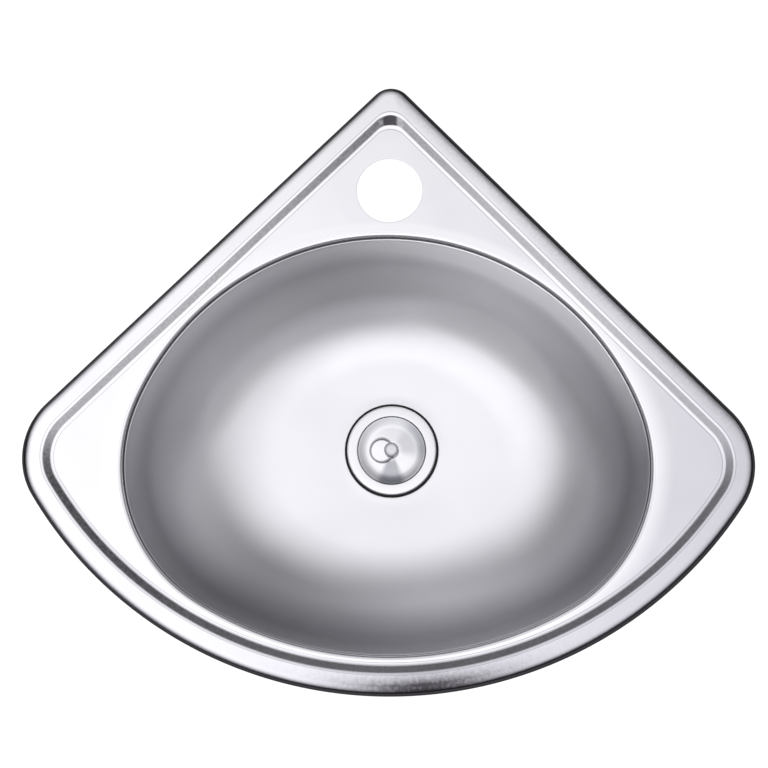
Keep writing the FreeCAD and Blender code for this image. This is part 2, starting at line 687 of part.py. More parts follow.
def side_clip_reach():
    """Wall corner to a side clip along the wall side, midway between the tap hole and the bowl's brim."""
    inner = CLIP_INSET + CHANNEL_WIDTH / 2
    tap = (CORNER_REACH - TAP_HOLE_REACH) * DIAGONAL
    past_tap = tap + math.sqrt(max(0, TAP_HOLE_RADIUS**2 - (tap - inner) ** 2))
    brim_radius = MOUTH_BACK_RADIUS + BRIM_WIDTH
    before_brim = MOUTH_TOUCH - math.sqrt(brim_radius**2 - (MOUTH_TOUCH - inner) ** 2)
    return (past_tap + before_brim) / 2


def clip_places():
    """Name, place and outward angle of each clip."""
    reach = side_clip_reach()
    side_x = (reach - CLIP_INSET) * DIAGONAL
    side_y = CORNER_REACH - (reach + CLIP_INSET) * DIAGONAL
    angle = front_end_angle() - FRONT_CLIP_ANGLE
    front = on_circle(FRONT_CENTRE, FRONT_RADIUS - CLIP_INSET, angle)
    return [
        ("right_side", side_x, side_y, 45),
        ("left_side", -side_x, side_y, 135),
        ("right_front", front.x, front.y, angle),
        ("left_front", -front.x, front.y, -180 - angle),
    ]


def at_clip(shape, x, y, angle):
    """The shape moved from the origin to a clip's place."""
    moved = shape.copy()
    moved.rotate(point(0, 0), Z_AXIS, angle)
    moved.translate(point(x, y, DECK_UNDER))
    return moved


def at_all_clips(shape):
    return Part.makeCompound([at_clip(shape, x, y, angle) for _, x, y, angle in clip_places()])


# All pieces


def all_pieces():
    """Every piece by its name."""
    nut_bore = SHANK_RADIUS + THREAD_CLEARANCE
    pieces = {
        "deck_panel": deck_panel(),
        "rim_seal": rim_seal(),
        "bowl": bowl(),
        "sound_pad": sound_pad(),
        "flange_gasket": washer(PASSAGE_RADIUS, GASKET_RADIUS, FLOOR, FLANGE_UNDER),
        "waste_body": waste_body(),
        "strainer_plate": strainer_plate(),
        "lower_gasket": washer(PASSAGE_RADIUS, LOWER_GASKET_RADIUS, GASKET_UNDER, FLOOR_UNDER),
        "slip_washer": washer(PASSAGE_RADIUS, WASHER_RADIUS, WASHER_UNDER, GASKET_UNDER),
        "back_nut": back_nut(),
        "plug_cap": plug_cap(),
        "plug_core": plug_core(),
        "plug_seal": plug_seal(),
        "plug_knob": plug_knob(),
        "plug_nut": hex_nut(PLUG_NUT_FLATS, nut_bore, PLUG_NUT_UNDER, CORE_UNDER),
        "pull_ring": pull_ring(),
        "clip_channels": at_all_clips(clip_channel()),
        "clip_bolts": at_all_clips(clip_bolt()),
        "clip_nuts": at_all_clips(clip_nut()),
    }
    for name, x, y, angle in clip_places():
        pieces["clip_jaw_" + name] = at_clip(clip_jaw(), x, y, angle)
    return pieces


os.makedirs("parts", exist_ok=True)
for name, shape in all_pieces().items():
    shape.exportStep("parts/" + name + ".step")
    print(name, "solids", len(shape.Solids), "volume", round(shape.Volume), "valid", shape.isValid())
print("pull ring pivot height", round(PIVOT, 3), "rest tilt", round(math.degrees(ring_tilt()), 3))
for name, x, y, angle in clip_places():
    print("clip", name, round(x, 3), round(y, 3), "outward angle", round(angle, 3))
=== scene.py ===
# %% [markdown]
# # A corner sink in pressed steel
# The sink is a pressed deck with a rolled rim, a drawn bowl welded under it, a waste with a lift-out plug,
# and four clips that hold it in a worktop. Its exact solids come from CAD. This lesson dresses them: the
# large sheets are drawn again as clean smooth meshes, the small pieces are softened, and all get a finish.
# The first cell empties Blender's starting scene and loads the solids as a fixed frame.

# %% Load the solids
import json
import math
from functools import partial

import bmesh
import bpy
from mathutils import Matrix, Vector

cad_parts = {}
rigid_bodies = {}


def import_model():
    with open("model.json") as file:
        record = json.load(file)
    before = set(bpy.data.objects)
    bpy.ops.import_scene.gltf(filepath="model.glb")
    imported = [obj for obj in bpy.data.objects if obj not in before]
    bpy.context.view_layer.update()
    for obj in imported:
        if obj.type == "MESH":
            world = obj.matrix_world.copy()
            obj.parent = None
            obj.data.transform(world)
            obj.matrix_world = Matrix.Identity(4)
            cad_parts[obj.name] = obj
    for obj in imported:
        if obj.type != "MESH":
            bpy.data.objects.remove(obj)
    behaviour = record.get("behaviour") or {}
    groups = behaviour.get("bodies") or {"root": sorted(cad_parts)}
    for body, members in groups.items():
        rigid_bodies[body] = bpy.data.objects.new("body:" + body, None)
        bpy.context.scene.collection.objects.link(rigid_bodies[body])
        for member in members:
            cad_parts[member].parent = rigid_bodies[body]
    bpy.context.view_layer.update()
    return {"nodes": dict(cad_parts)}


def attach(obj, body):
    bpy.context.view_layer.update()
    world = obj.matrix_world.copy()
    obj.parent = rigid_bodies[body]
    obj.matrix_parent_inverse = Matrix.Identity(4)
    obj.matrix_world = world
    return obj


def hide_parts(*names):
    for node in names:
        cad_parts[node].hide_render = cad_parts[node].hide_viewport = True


for starting_object in list(bpy.data.objects):
    bpy.data.objects.remove(starting_object)
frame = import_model()

# %% [markdown]
# ## From sizes to meshes
# A press tool is drawn as outlines and sections, so this lesson does the same. Sizes are written in
# millimetres, as on a drawing, and become metres only when a vertex is made. A few helpers do the dull
# work: they make a ring of vertices, join two rings with four-sided faces, turn the finished mesh into a
# piece with outward faces, smooth shading and crisp edges where the shape really has a corner, and tie the
# piece to the body that it moves with.

# %% Helpers for meshes
MM = 0.001
MERGE_WITHIN, CRISP_ANGLE = 1e-7, 32.0


def ring_of_vertices(mesh, outline, height):
    """New vertices along an outline of (x, y) points, all at one height, in millimetres."""
    return [mesh.verts.new((x * MM, y * MM, height * MM)) for x, y in outline]


def join_rings(mesh, first, second):
    """Four-sided faces between two rings that have the same number of vertices."""
    count = len(first)
    for i in range(count):
        j = (i + 1) % count
        mesh.faces.new((first[i], first[j], second[j], second[i]))


def piece_from(mesh, name, crisp=CRISP_ANGLE):
    """A named object from a bmesh, with outward faces and edges sharper than crisp degrees kept sharp."""
    bmesh.ops.remove_doubles(mesh, verts=mesh.verts, dist=MERGE_WITHIN)
    bmesh.ops.recalc_face_normals(mesh, faces=mesh.faces)
    data = bpy.data.meshes.new(name)
    mesh.to_mesh(data)
    mesh.free()
    return piece_of_data(data, name, crisp)


def piece_of_data(data, name, crisp=CRISP_ANGLE):
    """A named object from mesh data, shaded smooth apart from its crisp edges."""
    data.shade_smooth()
    data.set_sharp_from_angle(angle=math.radians(crisp))
    piece = bpy.data.objects.new(name, data)
    bpy.context.scene.collection.objects.link(piece)
    return piece


def place(piece, body, slot, finish, *nodes):
    """Gives the piece its finish, makes it move with a body, and lets it stand for those CAD solids."""
    piece.data.materials.clear()
    piece.data.materials.append(finish)
    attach(piece, body)
    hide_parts(*nodes)
    print(piece.name, "faces", len(piece.data.polygons), "rides on", body)


# %% [markdown]
# ## Finishes
# Steel has no colour of its own to speak of. What tells the satin deck from the matt bowl and from the
# mirror-polished waste is how rough each surface is and which way its fine lines run. A finish is a tree of
# small nodes, so the first helpers make a node in one line: one for any kind of node, one for a sum on
# numbers and one for a sum on vectors. A value that is another node's output is linked, any other is set.

# %% Helpers for nodes


def fill_socket(tree, socket, value):
    """Links a socket to another node's output, or sets it to a plain value."""
    if isinstance(value, bpy.types.NodeSocket):
        tree.links.new(value, socket)
    else:
        socket.default_value = value


def node(tree, kind, settings=None, **sockets):
    """A new node with its settings, and its sockets filled by their names."""
    made = tree.nodes.new(kind)
    for label, value in (settings or {}).items():
        setattr(made, label, value)
    for label, value in sockets.items():
        fill_socket(tree, made.inputs[label.replace("_", " ")], value)
    return made.outputs


def new_sum(tree, kind, operation, values):
    """A node for one sum, with its sockets filled in order."""
    made = tree.nodes.new(kind)
    made.operation = operation
    for socket, value in zip(made.inputs, values):
        fill_socket(tree, socket, value)
    return made.outputs


def maths(tree, operation, *values):
    """One sum on numbers."""
    return new_sum(tree, "ShaderNodeMath", operation, values)["Value"]


def vector_maths(tree, operation, *values):
    """One sum on vectors, which gives a number if it is a length or a dot product."""
    answer = "Value" if operation in ("LENGTH", "DOT_PRODUCT") else "Vector"
    return new_sum(tree, "ShaderNodeVectorMath", operation, values)[answer]


# %% [markdown]
# Nearly every finish starts from a noise pattern in Object coordinates, so that it stays with the piece when
# it moves. They count in metres, and so do the places that the finishes name. These helpers make the
# patterns: noise that can be drawn out along an axis, noise that leans lighter to one side, and a smooth
# change from one number to another.

# %% Helpers for patterns


def object_place(finish):
    """The place on the piece, in its own coordinates."""
    return node(finish.node_tree, "ShaderNodeTexCoord")["Object"]


def noise_pattern(finish, scale, detail=3.0, stretch=(1.0, 1.0, 1.0)):
    """Noise, drawn out along the axes that have a small factor."""
    tree = finish.node_tree
    drawn_out = node(tree, "ShaderNodeMapping", Vector=object_place(finish), Scale=stretch)["Vector"]
    return node(tree, "ShaderNodeTexNoise", Vector=drawn_out, Scale=scale, Detail=detail)["Fac"]


def lean_pattern(finish, pattern, direction, middle, share=0.8):
    """The pattern mixed with a slow change along a direction, which is 0.5 at the middle."""
    tree = finish.node_tree
    along = vector_maths(tree, "DOT_PRODUCT", object_place(finish), direction)
    start = 0.5 - sum(a * b for a, b in zip(direction, middle))
    slow = maths(tree, "MULTIPLY_ADD", along, share, share * start)
    return maths(tree, "MULTIPLY_ADD", pattern, 1.0 - share, slow)


def change(finish, value, start, end, low, high, course="SMOOTHSTEP"):
    """A number that goes from low to high while value goes from start to end."""
    sizes = {"From_Min": start, "From_Max": end, "To_Min": low, "To_Max": high}
    settings = {"interpolation_type": course}
    return node(finish.node_tree, "ShaderNodeMapRange", settings, Value=value, **sizes)["Result"]


# %% [markdown]
# A pattern then has to reach Blender's Principled shader. It can move the colour or the roughness between two
# values, or give a fine relief. Last, the colour so far can be shaded by a number, or turned to another
# colour where the mesh itself carries a mark.

# %% Helpers for the shader
PATTERN_LOW, PATTERN_HIGH, BROKEN_EDGE = 0.3, 0.7, 0.6


def new_finish(name, metal, roughness):
    """A material with its Principled shader set up as metal or not."""
    finish = bpy.data.materials.new(name)
    finish.use_nodes = True
    shader = finish.node_tree.nodes["Principled BSDF"]
    shader.inputs["Metallic"].default_value = metal
    shader.inputs["Roughness"].default_value = roughness
    return finish, shader


def vary_roughness(finish, shader, pattern, low, high):
    """Roughness that wanders between low and high with the pattern."""
    rough = change(finish, pattern, PATTERN_LOW, PATTERN_HIGH, low, high, "LINEAR")
    finish.node_tree.links.new(rough, shader.inputs["Roughness"])


def vary_colour(finish, shader, pattern, dark, light):
    """Colour that wanders between dark and light with the pattern."""
    ramp = finish.node_tree.nodes.new("ShaderNodeValToRGB")
    stops = zip(ramp.color_ramp.elements, (PATTERN_LOW, PATTERN_HIGH), (dark, light))
    for stop, position, colour in stops:
        stop.position, stop.color = position, (*colour, 1.0)
    finish.node_tree.links.new(pattern, ramp.inputs["Fac"])
    finish.node_tree.links.new(ramp.outputs["Color"], shader.inputs["Base Color"])


def add_relief(finish, shader, pattern, depth_mm, strength):
    """Fine relief of about that depth, from the pattern."""
    tree = finish.node_tree
    bump = node(tree, "ShaderNodeBump", Strength=strength, Distance=depth_mm * MM, Height=pattern)
    tree.links.new(bump["Normal"], shader.inputs["Normal"])


def blend_over(finish, shader, way, share, colour):
    """Blends another colour over the colour so far."""
    tree, base = finish.node_tree, shader.inputs["Base Color"]
    settings = {"data_type": "RGBA", "blend_type": way}
    mix = node(tree, "ShaderNodeMix", settings, Factor=share, A=base.links[0].from_socket, B=colour)
    tree.links.new(mix["Result"], base)


def shade_by(finish, shader, number):
    """Multiplies the colour so far by a number."""
    blend_over(finish, shader, "MULTIPLY", 1.0, number)


def darken_by(finish, shader, mark, colour, breakup):
    """Turns the colour so far to another one where the mesh carries the mark, with a broken edge."""
    tree = finish.node_tree
    share = node(tree, "ShaderNodeAttribute", {"attribute_name": mark})["Fac"]
    shifted = maths(tree, "SUBTRACT", share, BROKEN_EDGE / 2)
    uneven = maths(tree, "MULTIPLY_ADD", breakup, BROKEN_EDGE, shifted)
    uneven = maths(tree, "MINIMUM", maths(tree, "MAXIMUM", uneven, 0.0), 1.0)
    blend_over(finish, shader, "MIX", maths(tree, "MULTIPLY", uneven, share), (*colour, 1.0))


# %% [markdown]
# The deck is bright satin steel, rolled smooth at the mill and left so by the press. It gets a cloudy change
# of roughness over a few centimetres, too faint to see as a pattern but enough to keep the reflections
# alive. Its colour also carries painted light: it leans lighter to the back and left, and a painted glow
# makes it palest close to the bowl. An egg shape stands for the mouth there: an ellipse that grows narrower
# to the back. The painted shade on the rim, the step and the collar is numbers on the deck's mesh, which is
# made further on.

# %% Deck steel
EGG_MIDDLE, EGG_NARROWER, EGG_ACROSS, EGG_ALONG = 0.0075, 0.8, 0.1605, 0.128
PALE_START, PALE_END, PAINTED_GLOW = 1.005, 1.085, 0.25


def painted_glow_round_mouth(finish, pattern):
    """The pattern with a painted glow close to the bowl's mouth."""
    tree = finish.node_tree
    spot = node(tree, "ShaderNodeSeparateXYZ", Vector=object_place(finish))
    back = maths(tree, "ADD", spot["Y"], EGG_MIDDLE)
    wider = maths(tree, "MULTIPLY_ADD", back, EGG_NARROWER, 1.0)
    across = maths(tree, "DIVIDE", maths(tree, "MULTIPLY", spot["X"], wider), EGG_ACROSS)
    along = maths(tree, "DIVIDE", back, EGG_ALONG)
    away = vector_maths(tree, "LENGTH", node(tree, "ShaderNodeCombineXYZ", X=across, Y=along)["Vector"])
    return maths(tree, "ADD", pattern, change(finish, away, PALE_START, PALE_END, PAINTED_GLOW, 0.0))


deck_steel, shader = new_finish("satin deck steel", metal=1.0, roughness=0.2)
shader.inputs["Specular Tint"].default_value = (0.4, 0.4, 0.4, 1.0)
cloud = noise_pattern(deck_steel, 22.0, detail=4.0)
# Painted light: the deck's colour leans lighter to the back and left.
deck_cloud_and_painted_light = lean_pattern(deck_steel, cloud, (-0.8, 1.3, 0.0), (0.0, 0.0, 0.0))
# Painted glow: the colour is made palest close to the bowl's mouth.
deck_cloud_and_painted_light = painted_glow_round_mouth(deck_steel, deck_cloud_and_painted_light)
vary_colour(deck_steel, shader, deck_cloud_and_painted_light, (0.58, 0.575, 0.60), (0.84, 0.84, 0.84))
vary_roughness(deck_steel, shader, cloud, 0.19, 0.24)
speckle, patches = noise_pattern(deck_steel, 520.0, detail=4.0), noise_pattern(deck_steel, 30.0)
# Painted shade: the rolled edge, the step's slope and the collar are darkened from numbers on the mesh.
darken_by(deck_steel, shader, "painted_shade", (0.054, 0.051, 0.056), speckle)
# Painted dark lines along the step's two bends and the collar's bend.
darken_by(deck_steel, shader, "painted_line", (0.20, 0.20, 0.22), patches)
grain = noise_pattern(deck_steel, 900.0, detail=2.0, stretch=(1.0, 0.15, 1.0))
add_relief(deck_steel, shader, grain, depth_mm=0.002, strength=0.2)
print("finish:", deck_steel.name, "with", len(deck_steel.node_tree.nodes), "nodes")

# %% [markdown]
# The bowl has been drawn deep, which pulls the skin matt, and then brushed over. Its colour carries painted
# light: the floor is painted palest, and the whole bowl leans lighter to the back. Three places below the rim
# get painted light: each row of the list says which way to go from the drain, between which distances the
# lift comes in, how far down it reaches and how strong it is.

# %% Bowl steel
LIFT_TOP = -0.006
PAINTED_LIFTS = [
    (0.3, 1.0, 0.0, 0.12, -0.05, 0.36),
    (0.7, 0.7, 0.05, 0.14, -0.075, 0.36),
    (-0.95, 0.3, 0.09, 0.15, -0.045, 0.3),
]
bowl_steel, shader = new_finish("matt drawn steel", metal=1.0, roughness=0.32)
bowl_sum, bowl_change = partial(maths, bowl_steel.node_tree), partial(change, bowl_steel)
spot = node(bowl_steel.node_tree, "ShaderNodeSeparateXYZ", Vector=object_place(bowl_steel))
cloud = noise_pattern(bowl_steel, 18.0, detail=4.0)
# Painted light: the colour is lighter towards the floor and to the back.
drawn = lean_pattern(bowl_steel, cloud, (-0.3, 1.7, -7.0), (0.0, 0.0, -0.075), share=0.9)
# Painted light is lifted on three places below the rim.
for to_right, to_back, start, end, low, amount in PAINTED_LIFTS:
    to_rim = bowl_change(spot["Z"], low, LIFT_TOP, 0.0, 1.0)
    along = bowl_sum("MULTIPLY_ADD", spot["X"], to_right, bowl_sum("MULTIPLY", spot["Y"], to_back))
    lifted = bowl_change(along, start, end, 0.0, amount)
    drawn = bowl_sum("MULTIPLY_ADD", to_rim, lifted, drawn)
vary_colour(bowl_steel, shader, drawn, (0.41, 0.405, 0.43), (0.79, 0.79, 0.795))
vary_roughness(bowl_steel, shader, cloud, 0.38, 0.44)
grain = noise_pattern(bowl_steel, 1400.0, detail=2.0)
add_relief(bowl_steel, shader, grain, depth_mm=0.002, strength=0.25)
print("finish:", bowl_steel.name, "with", len(PAINTED_LIFTS), "lifts")

# %% [markdown]
# Painted reflections lay soft fans of lighter and darker steel on the bowl's wall, three of them round the
# drain and one wide one over them. Two cosine waves of the turn make them, each with a count, the angle of
# its peak and an amount. They keep to the wall, and the bend at the back gets a little painted light.

# %% Painted fans round the bowl's wall
BOWL_FANS, ALL_FANS = [(1.0, 67.0, 0.13), (3.0, 48.0, 0.2)], -0.06
WALL_FADE, BEND_FADE, BACK_FADE, PAINTED_BEND_LIGHT = (-0.119, -0.105), (-0.103, -0.085), (-0.04, 0.03), 0.27
turn, fans = bowl_sum("ARCTAN2", spot["Y"], spot["X"]), ALL_FANS
for count, peak, amount in BOWL_FANS:
    wave = bowl_sum("MULTIPLY", bowl_sum("SUBTRACT", turn, math.radians(peak)), count)
    fans = bowl_sum("MULTIPLY_ADD", bowl_sum("COSINE", wave), amount, fans)
on_wall = bowl_change(spot["Z"], *WALL_FADE, 0.0, 1.0)
on_bend = bowl_sum("MULTIPLY", on_wall, bowl_change(spot["Z"], *BEND_FADE, 1.0, 0.0))
on_bend = bowl_sum("MULTIPLY", on_bend, bowl_change(spot["Y"], *BACK_FADE, 0.0, PAINTED_BEND_LIGHT))
fans = bowl_sum("MULTIPLY_ADD", fans, on_wall, on_bend)
# The painted reflections and painted light multiply the bowl's colour.
shade_by(bowl_steel, shader, bowl_sum("ADD", fans, 1.0))
print("finish:", bowl_steel.name, "with", len(bowl_steel.node_tree.nodes), "nodes")

# %% [markdown]
# The flange and the plug are spun on a lathe and polished there, so their finest lines run in circles about
# the drain. Such lines smear a reflection across them, which gives the fan-shaped lights and darks of a
# polished disc. The shader's anisotropy does this: the Tangent node tells it that the lines run round Z.

# %% Spun flange steel
LATHE_PITCH, LATHE_DEPTH, LATHE_GRAIN = 0.35, 0.003, 0.6


def lathe_finish(name, grain):
    """Polished steel with circular lines about the drain axis, uneven in height, and a grain along them."""
    finish, shader = new_finish(name, metal=1.0, roughness=0.14)
    shader.inputs["Anisotropic"].default_value = grain
    tree = finish.node_tree
    flat = vector_maths(tree, "MULTIPLY", object_place(finish), (1.0, 1.0, 0.0))
    radius = vector_maths(tree, "LENGTH", flat)
    sizes = {"W": radius, "Scale": 1.0 / (LATHE_PITCH * MM), "Detail": 2.0}
    lines = node(tree, "ShaderNodeTexNoise", {"noise_dimensions": "1D"}, **sizes)["Fac"]
    add_relief(finish, shader, lines, LATHE_DEPTH, strength=0.35)
    vary_roughness(finish, shader, lines, 0.11, 0.18)
    round_z = node(tree, "ShaderNodeTangent", {"direction_type": "RADIAL", "axis": "Z"})["Tangent"]
    tree.links.new(round_z, shader.inputs["Tangent"])
    return finish, shader, lines, radius


spun_steel, shader, lines, _ = lathe_finish("spun polished steel", LATHE_GRAIN)
vary_colour(spun_steel, shader, lines, (0.68, 0.68, 0.68), (0.74, 0.74, 0.74))
print("finish:", spun_steel.name)

# %% [markdown]
# On the plug's cap the fans of light and dark are strong, and the soft panel over the sink is too even to
# give them. So they are painted reflections: a gradient that runs once round the drain goes through a ramp
# of stops, each a share of the turn and a darkness. The painted fans grow from the knob outwards, and the
# cap's sloping border is painted a little darker, as shade.

# %% Cap steel
FANS = [
    (0.0, 0.0), (1.0, 0.0), (0.16, 0.02), (0.21, 0.4), (0.29, 0.4),
    (0.34, 0.02), (0.42, 0.03), (0.52, 0.25), (0.62, 0.25), (0.72, 0.11),
]
FAN_GROWTH, FAN_STRENGTH = (0.003, 0.009), -0.55
CAP_BORDER, CAP_LIGHT, BORDER_LIGHT = (0.0165, 0.0195), 0.7, 0.6


def fan_pattern(finish, radius, stops):
    """Painted lighter and darker fans about the drain axis, stronger outwards, and a painted darker sloping
    border.
    """
    tree = finish.node_tree
    once_round = {"gradient_type": "RADIAL"}
    turn = node(tree, "ShaderNodeTexGradient", once_round, Vector=object_place(finish))["Fac"]
    ramp = tree.nodes.new("ShaderNodeValToRGB")
    ramp.color_ramp.interpolation = "EASE"
    for number, (position, dark) in enumerate(stops):
        stop = ramp.color_ramp.elements[number] if number < 2 else ramp.color_ramp.elements.new(position)
        stop.position, stop.color = position, (dark, dark, dark, 1.0)
    tree.links.new(turn, ramp.inputs["Fac"])
    strength = change(finish, radius, *FAN_GROWTH, 0.0, FAN_STRENGTH)
    light = change(finish, radius, *CAP_BORDER, CAP_LIGHT, BORDER_LIGHT)
    return maths(tree, "MULTIPLY_ADD", ramp.outputs["Color"], strength, light)


cap_steel, shader, _, radius = lathe_finish("spun cap steel", LATHE_GRAIN)
fans = fan_pattern(cap_steel, radius, FANS)
vary_colour(cap_steel, shader, fans, (0.09, 0.10, 0.125), (0.75, 0.75, 0.75))
print("finish:", cap_steel.name, "with", len(FANS), "stops")

# %% [markdown]
# The button knob is turned too, and its colour is painted light: a bright top and a darker side, so the
# colour changes with the distance from its axis. The pull ring is drawn wire with a mirror polish. A last
# helper makes the ring's finish and most of those that follow: colour and roughness wander together, and a
# fine relief is added if there is one.

# %% Knob and ring steel
KNOB_EDGE, KNOB_TOP_LIGHT, KNOB_SIDE_LIGHT = (0.0026, 0.0036), 0.62, 0.44
knob_steel, shader, _, radius = lathe_finish("turned knob steel", 0.0)
# Painted light: the knob's top is lighter and its side darker.
knob_painted_light = change(knob_steel, radius, *KNOB_EDGE, KNOB_TOP_LIGHT, KNOB_SIDE_LIGHT)
vary_colour(knob_steel, shader, knob_painted_light, (0.2, 0.2, 0.21), (0.66, 0.66, 0.67))


def clouded_finish(name, metal, scale, dark, light, rough, relief=None, detail=3.0):
    """A finish from one cloudy pattern, with a relief of (scale, depth, strength) if one is given."""
    finish, shader = new_finish(name, metal, sum(rough) / 2)
    cloud = noise_pattern(finish, scale, detail)
    vary_colour(finish, shader, cloud, dark, light)
    vary_roughness(finish, shader, cloud, *rough)
    if relief:
        relief_scale, depth, strength = relief
        add_relief(finish, shader, noise_pattern(finish, relief_scale), depth, strength)
    print("finish:", name)
    return finish


mirror_steel = clouded_finish(
    "mirror polished steel", 1.0, 120.0, (0.38, 0.38, 0.39), (0.44, 0.44, 0.45), (0.05, 0.10)
)

# %% [markdown]
# Under the sink the finishes are those of plumbing and hardware: bluish zinc on the clips, cast brass with
# a turned face on the back nut, black rubber, white nylon and grey moulded plastic. All are dull and even,
# so one cloudy pattern each is enough, and a fine relief for the skin that plating, casting or moulding
# leaves.

# %% Hardware, rubber and plastic
zinc = clouded_finish(
    "bright zinc plate", 1.0, 160.0, (0.60, 0.63, 0.67), (0.72, 0.74, 0.76), (0.26, 0.42),
    relief=(1500.0, 0.01, 0.3), detail=5.0,
)
brass = clouded_finish(
    "cast brass", 1.0, 140.0, (0.62, 0.47, 0.22), (0.76, 0.61, 0.33), (0.25, 0.45),
    relief=(900.0, 0.02, 0.4), detail=5.0,
)
rubber = clouded_finish(
    "black rubber", 0.0, 260.0, (0.006, 0.006, 0.006), (0.014, 0.014, 0.014), (0.42, 0.6),
    relief=(2500.0, 0.02, 0.4),
)
rubber.node_tree.nodes["Principled BSDF"].inputs["Specular IOR Level"].default_value = 0.2
nylon = clouded_finish("white nylon", 0.0, 200.0, (0.80, 0.79, 0.76), (0.87, 0.86, 0.84), (0.34, 0.46))
grey_plastic = clouded_finish(
    "grey moulded plastic", 0.0, 300.0, (0.30, 0.31, 0.32), (0.36, 0.37, 0.38), (0.38, 0.52),
    relief=(3000.0, 0.02, 0.4),
)
print("finishes so far:", len(bpy.data.materials))

# %% [markdown]
# Two soft finishes are left. The foam strip under the rim shows its small round cells, and the bitumen pad
# under the bowl's floor the square grid of the press. Both are what a Voronoi texture draws: distances to
# the nearest of many points, strewn for the foam and in even rows for the pad.

# %% Foam and damping pad


def cell_pattern(finish, scale, shape, strewn):
    """Distances to the nearest cell's middle, with cells in even rows where strewn is nought."""
    settings, sizes = {"distance": shape}, {"Scale": scale, "Randomness": strewn}
    cells = node(finish.node_tree, "ShaderNodeTexVoronoi", settings, Vector=object_place(finish), **sizes)
    return cells["Distance"]


foam, shader = new_finish("closed-cell foam", metal=0.0, roughness=0.85)
vary_colour(foam, shader, noise_pattern(foam, 500.0), (0.035, 0.035, 0.038), (0.075, 0.075, 0.08))
add_relief(foam, shader, cell_pattern(foam, 1400.0, "EUCLIDEAN", strewn=1.0), depth_mm=0.3, strength=0.6)

damping_pad, shader = new_finish("pressed damping pad", metal=0.0, roughness=0.7)
vary_colour(damping_pad, shader, noise_pattern(damping_pad, 90.0), (0.05, 0.05, 0.052), (0.09, 0.09, 0.092))
squares = cell_pattern(damping_pad, 120.0, "CHEBYCHEV", strewn=0.0)
add_relief(damping_pad, shader, squares, depth_mm=0.5, strength=0.5)
print("finishes in all:", len(bpy.data.materials))

# %% [markdown]
# ## The outline of the rim
# Seen from above, the rim is two straight wall sides that meet in a small corner rounding, two end
# roundings, and one wide front arc. Every arc touches its neighbours, so the end rounding's centre is
# solved, not typed. The same function gives the outline moved inwards, and always with the same number of
# points, so that any two outlines can be joined face to face.

# %% Rim outline
CORNER_REACH, FRONT_REACH = 222.76, 159.4
CORNER_ROUND, END_ROUND, FRONT_ROUND = 14.0, 45.0, 257.6
ROLL_END, STEP_CORNER_ROUND, HAIR = 7.0, 12.0, 0.06
CORNER_STEPS, SIDE_STEPS, END_STEPS, FRONT_STEPS = 20, 30, 48, 150
FRONT_CENTRE = (0.0, FRONT_ROUND - FRONT_REACH)
SLANT = math.sqrt(0.5)


def arc_points(centre, radius, start, end, steps):
    """Points along an arc between two angles, without the last one."""
    turns = [math.radians(start + (end - start) * step / steps) for step in range(steps)]
    return [(centre[0] + radius * math.cos(t), centre[1] + radius * math.sin(t)) for t in turns]


def line_points(start, end, steps):
    """Points along a straight line, without the last one."""
    shares = [step / steps for step in range(steps)]
    return [(start[0] + (end[0] - start[0]) * s, start[1] + (end[1] - start[1]) * s) for s in shares]


def end_centre():
    """Centre of the right end's rounding, which touches the wall side and the front arc."""
    start_x = -END_ROUND * SLANT
    start_y = CORNER_REACH - END_ROUND * SLANT - FRONT_CENTRE[1]
    along = (start_x - start_y) * SLANT
    beyond = start_x**2 + start_y**2 - (FRONT_ROUND - END_ROUND) ** 2
    reach = math.sqrt(along**2 - beyond) - along
    return (start_x + reach * SLANT, start_y + FRONT_CENTRE[1] - reach * SLANT)


def rim_outline(inset):
    """The rim's outline moved inwards, and a hair inside the solid, clockwise from the wall corner."""
    inset = inset + HAIR
    corner_round = CORNER_ROUND - inset if inset < ROLL_END else STEP_CORNER_ROUND
    corner = (0.0, CORNER_REACH - (inset + corner_round) / SLANT)
    right = end_centre()
    left = (-right[0], right[1])
    end_round = END_ROUND - inset
    turn = math.degrees(math.atan2(right[1] - FRONT_CENTRE[1], right[0]))
    corner_arc = arc_points(corner, corner_round, 135, 45, CORNER_STEPS)
    right_arc = arc_points(right, end_round, 45, turn, END_STEPS)
    front_arc = arc_points(FRONT_CENTRE, FRONT_ROUND - inset, turn, -180 - turn, FRONT_STEPS)
    left_arc = arc_points(left, end_round, -180 - turn, -225, END_STEPS)
    right_end = arc_points(corner, corner_round, 45, 45, 1)[0]
    left_end = arc_points(left, end_round, 135, 135, 1)[0]
    right_side = line_points(right_end, right_arc[0], SIDE_STEPS)
    left_side = line_points(left_end, corner_arc[0], SIDE_STEPS)
    return corner_arc + right_side + right_arc + front_arc + left_arc + left_side


print("points in a rim outline:", len(rim_outline(0.0)), "end rounding's centre:", end_centre())

# %% [markdown]
# ## The outline of the bowl's mouth
# The mouth is an oval of four arcs that touch: a back arc that comes as near to both wall sides as the front
# arc comes to the front, and two smaller end arcs between them. The oval can also be moved outwards, which
# gives each point its own way straight out. With it, one rule makes every level of the bowl: scale the oval
# about the drain, then step outwards by a few millimetres.

# %% Mouth outline
MOUTH_MARGIN, MOUTH_BACK_ROUND, MOUTH_END_ROUND, MOUTH_TIGHTER = 24.0, 165.0, 98.0, 12.8
MOUTH_FRONT_ROUND = FRONT_ROUND - MOUTH_MARGIN - MOUTH_TIGHTER
BACK_STEPS, MOUTH_END_STEPS, MOUTH_FRONT_STEPS = 120, 60, 84
BACK_Y = CORNER_REACH - (MOUTH_BACK_ROUND + MOUTH_MARGIN) / SLANT
FRONT_Y = MOUTH_FRONT_ROUND + MOUTH_MARGIN - FRONT_REACH


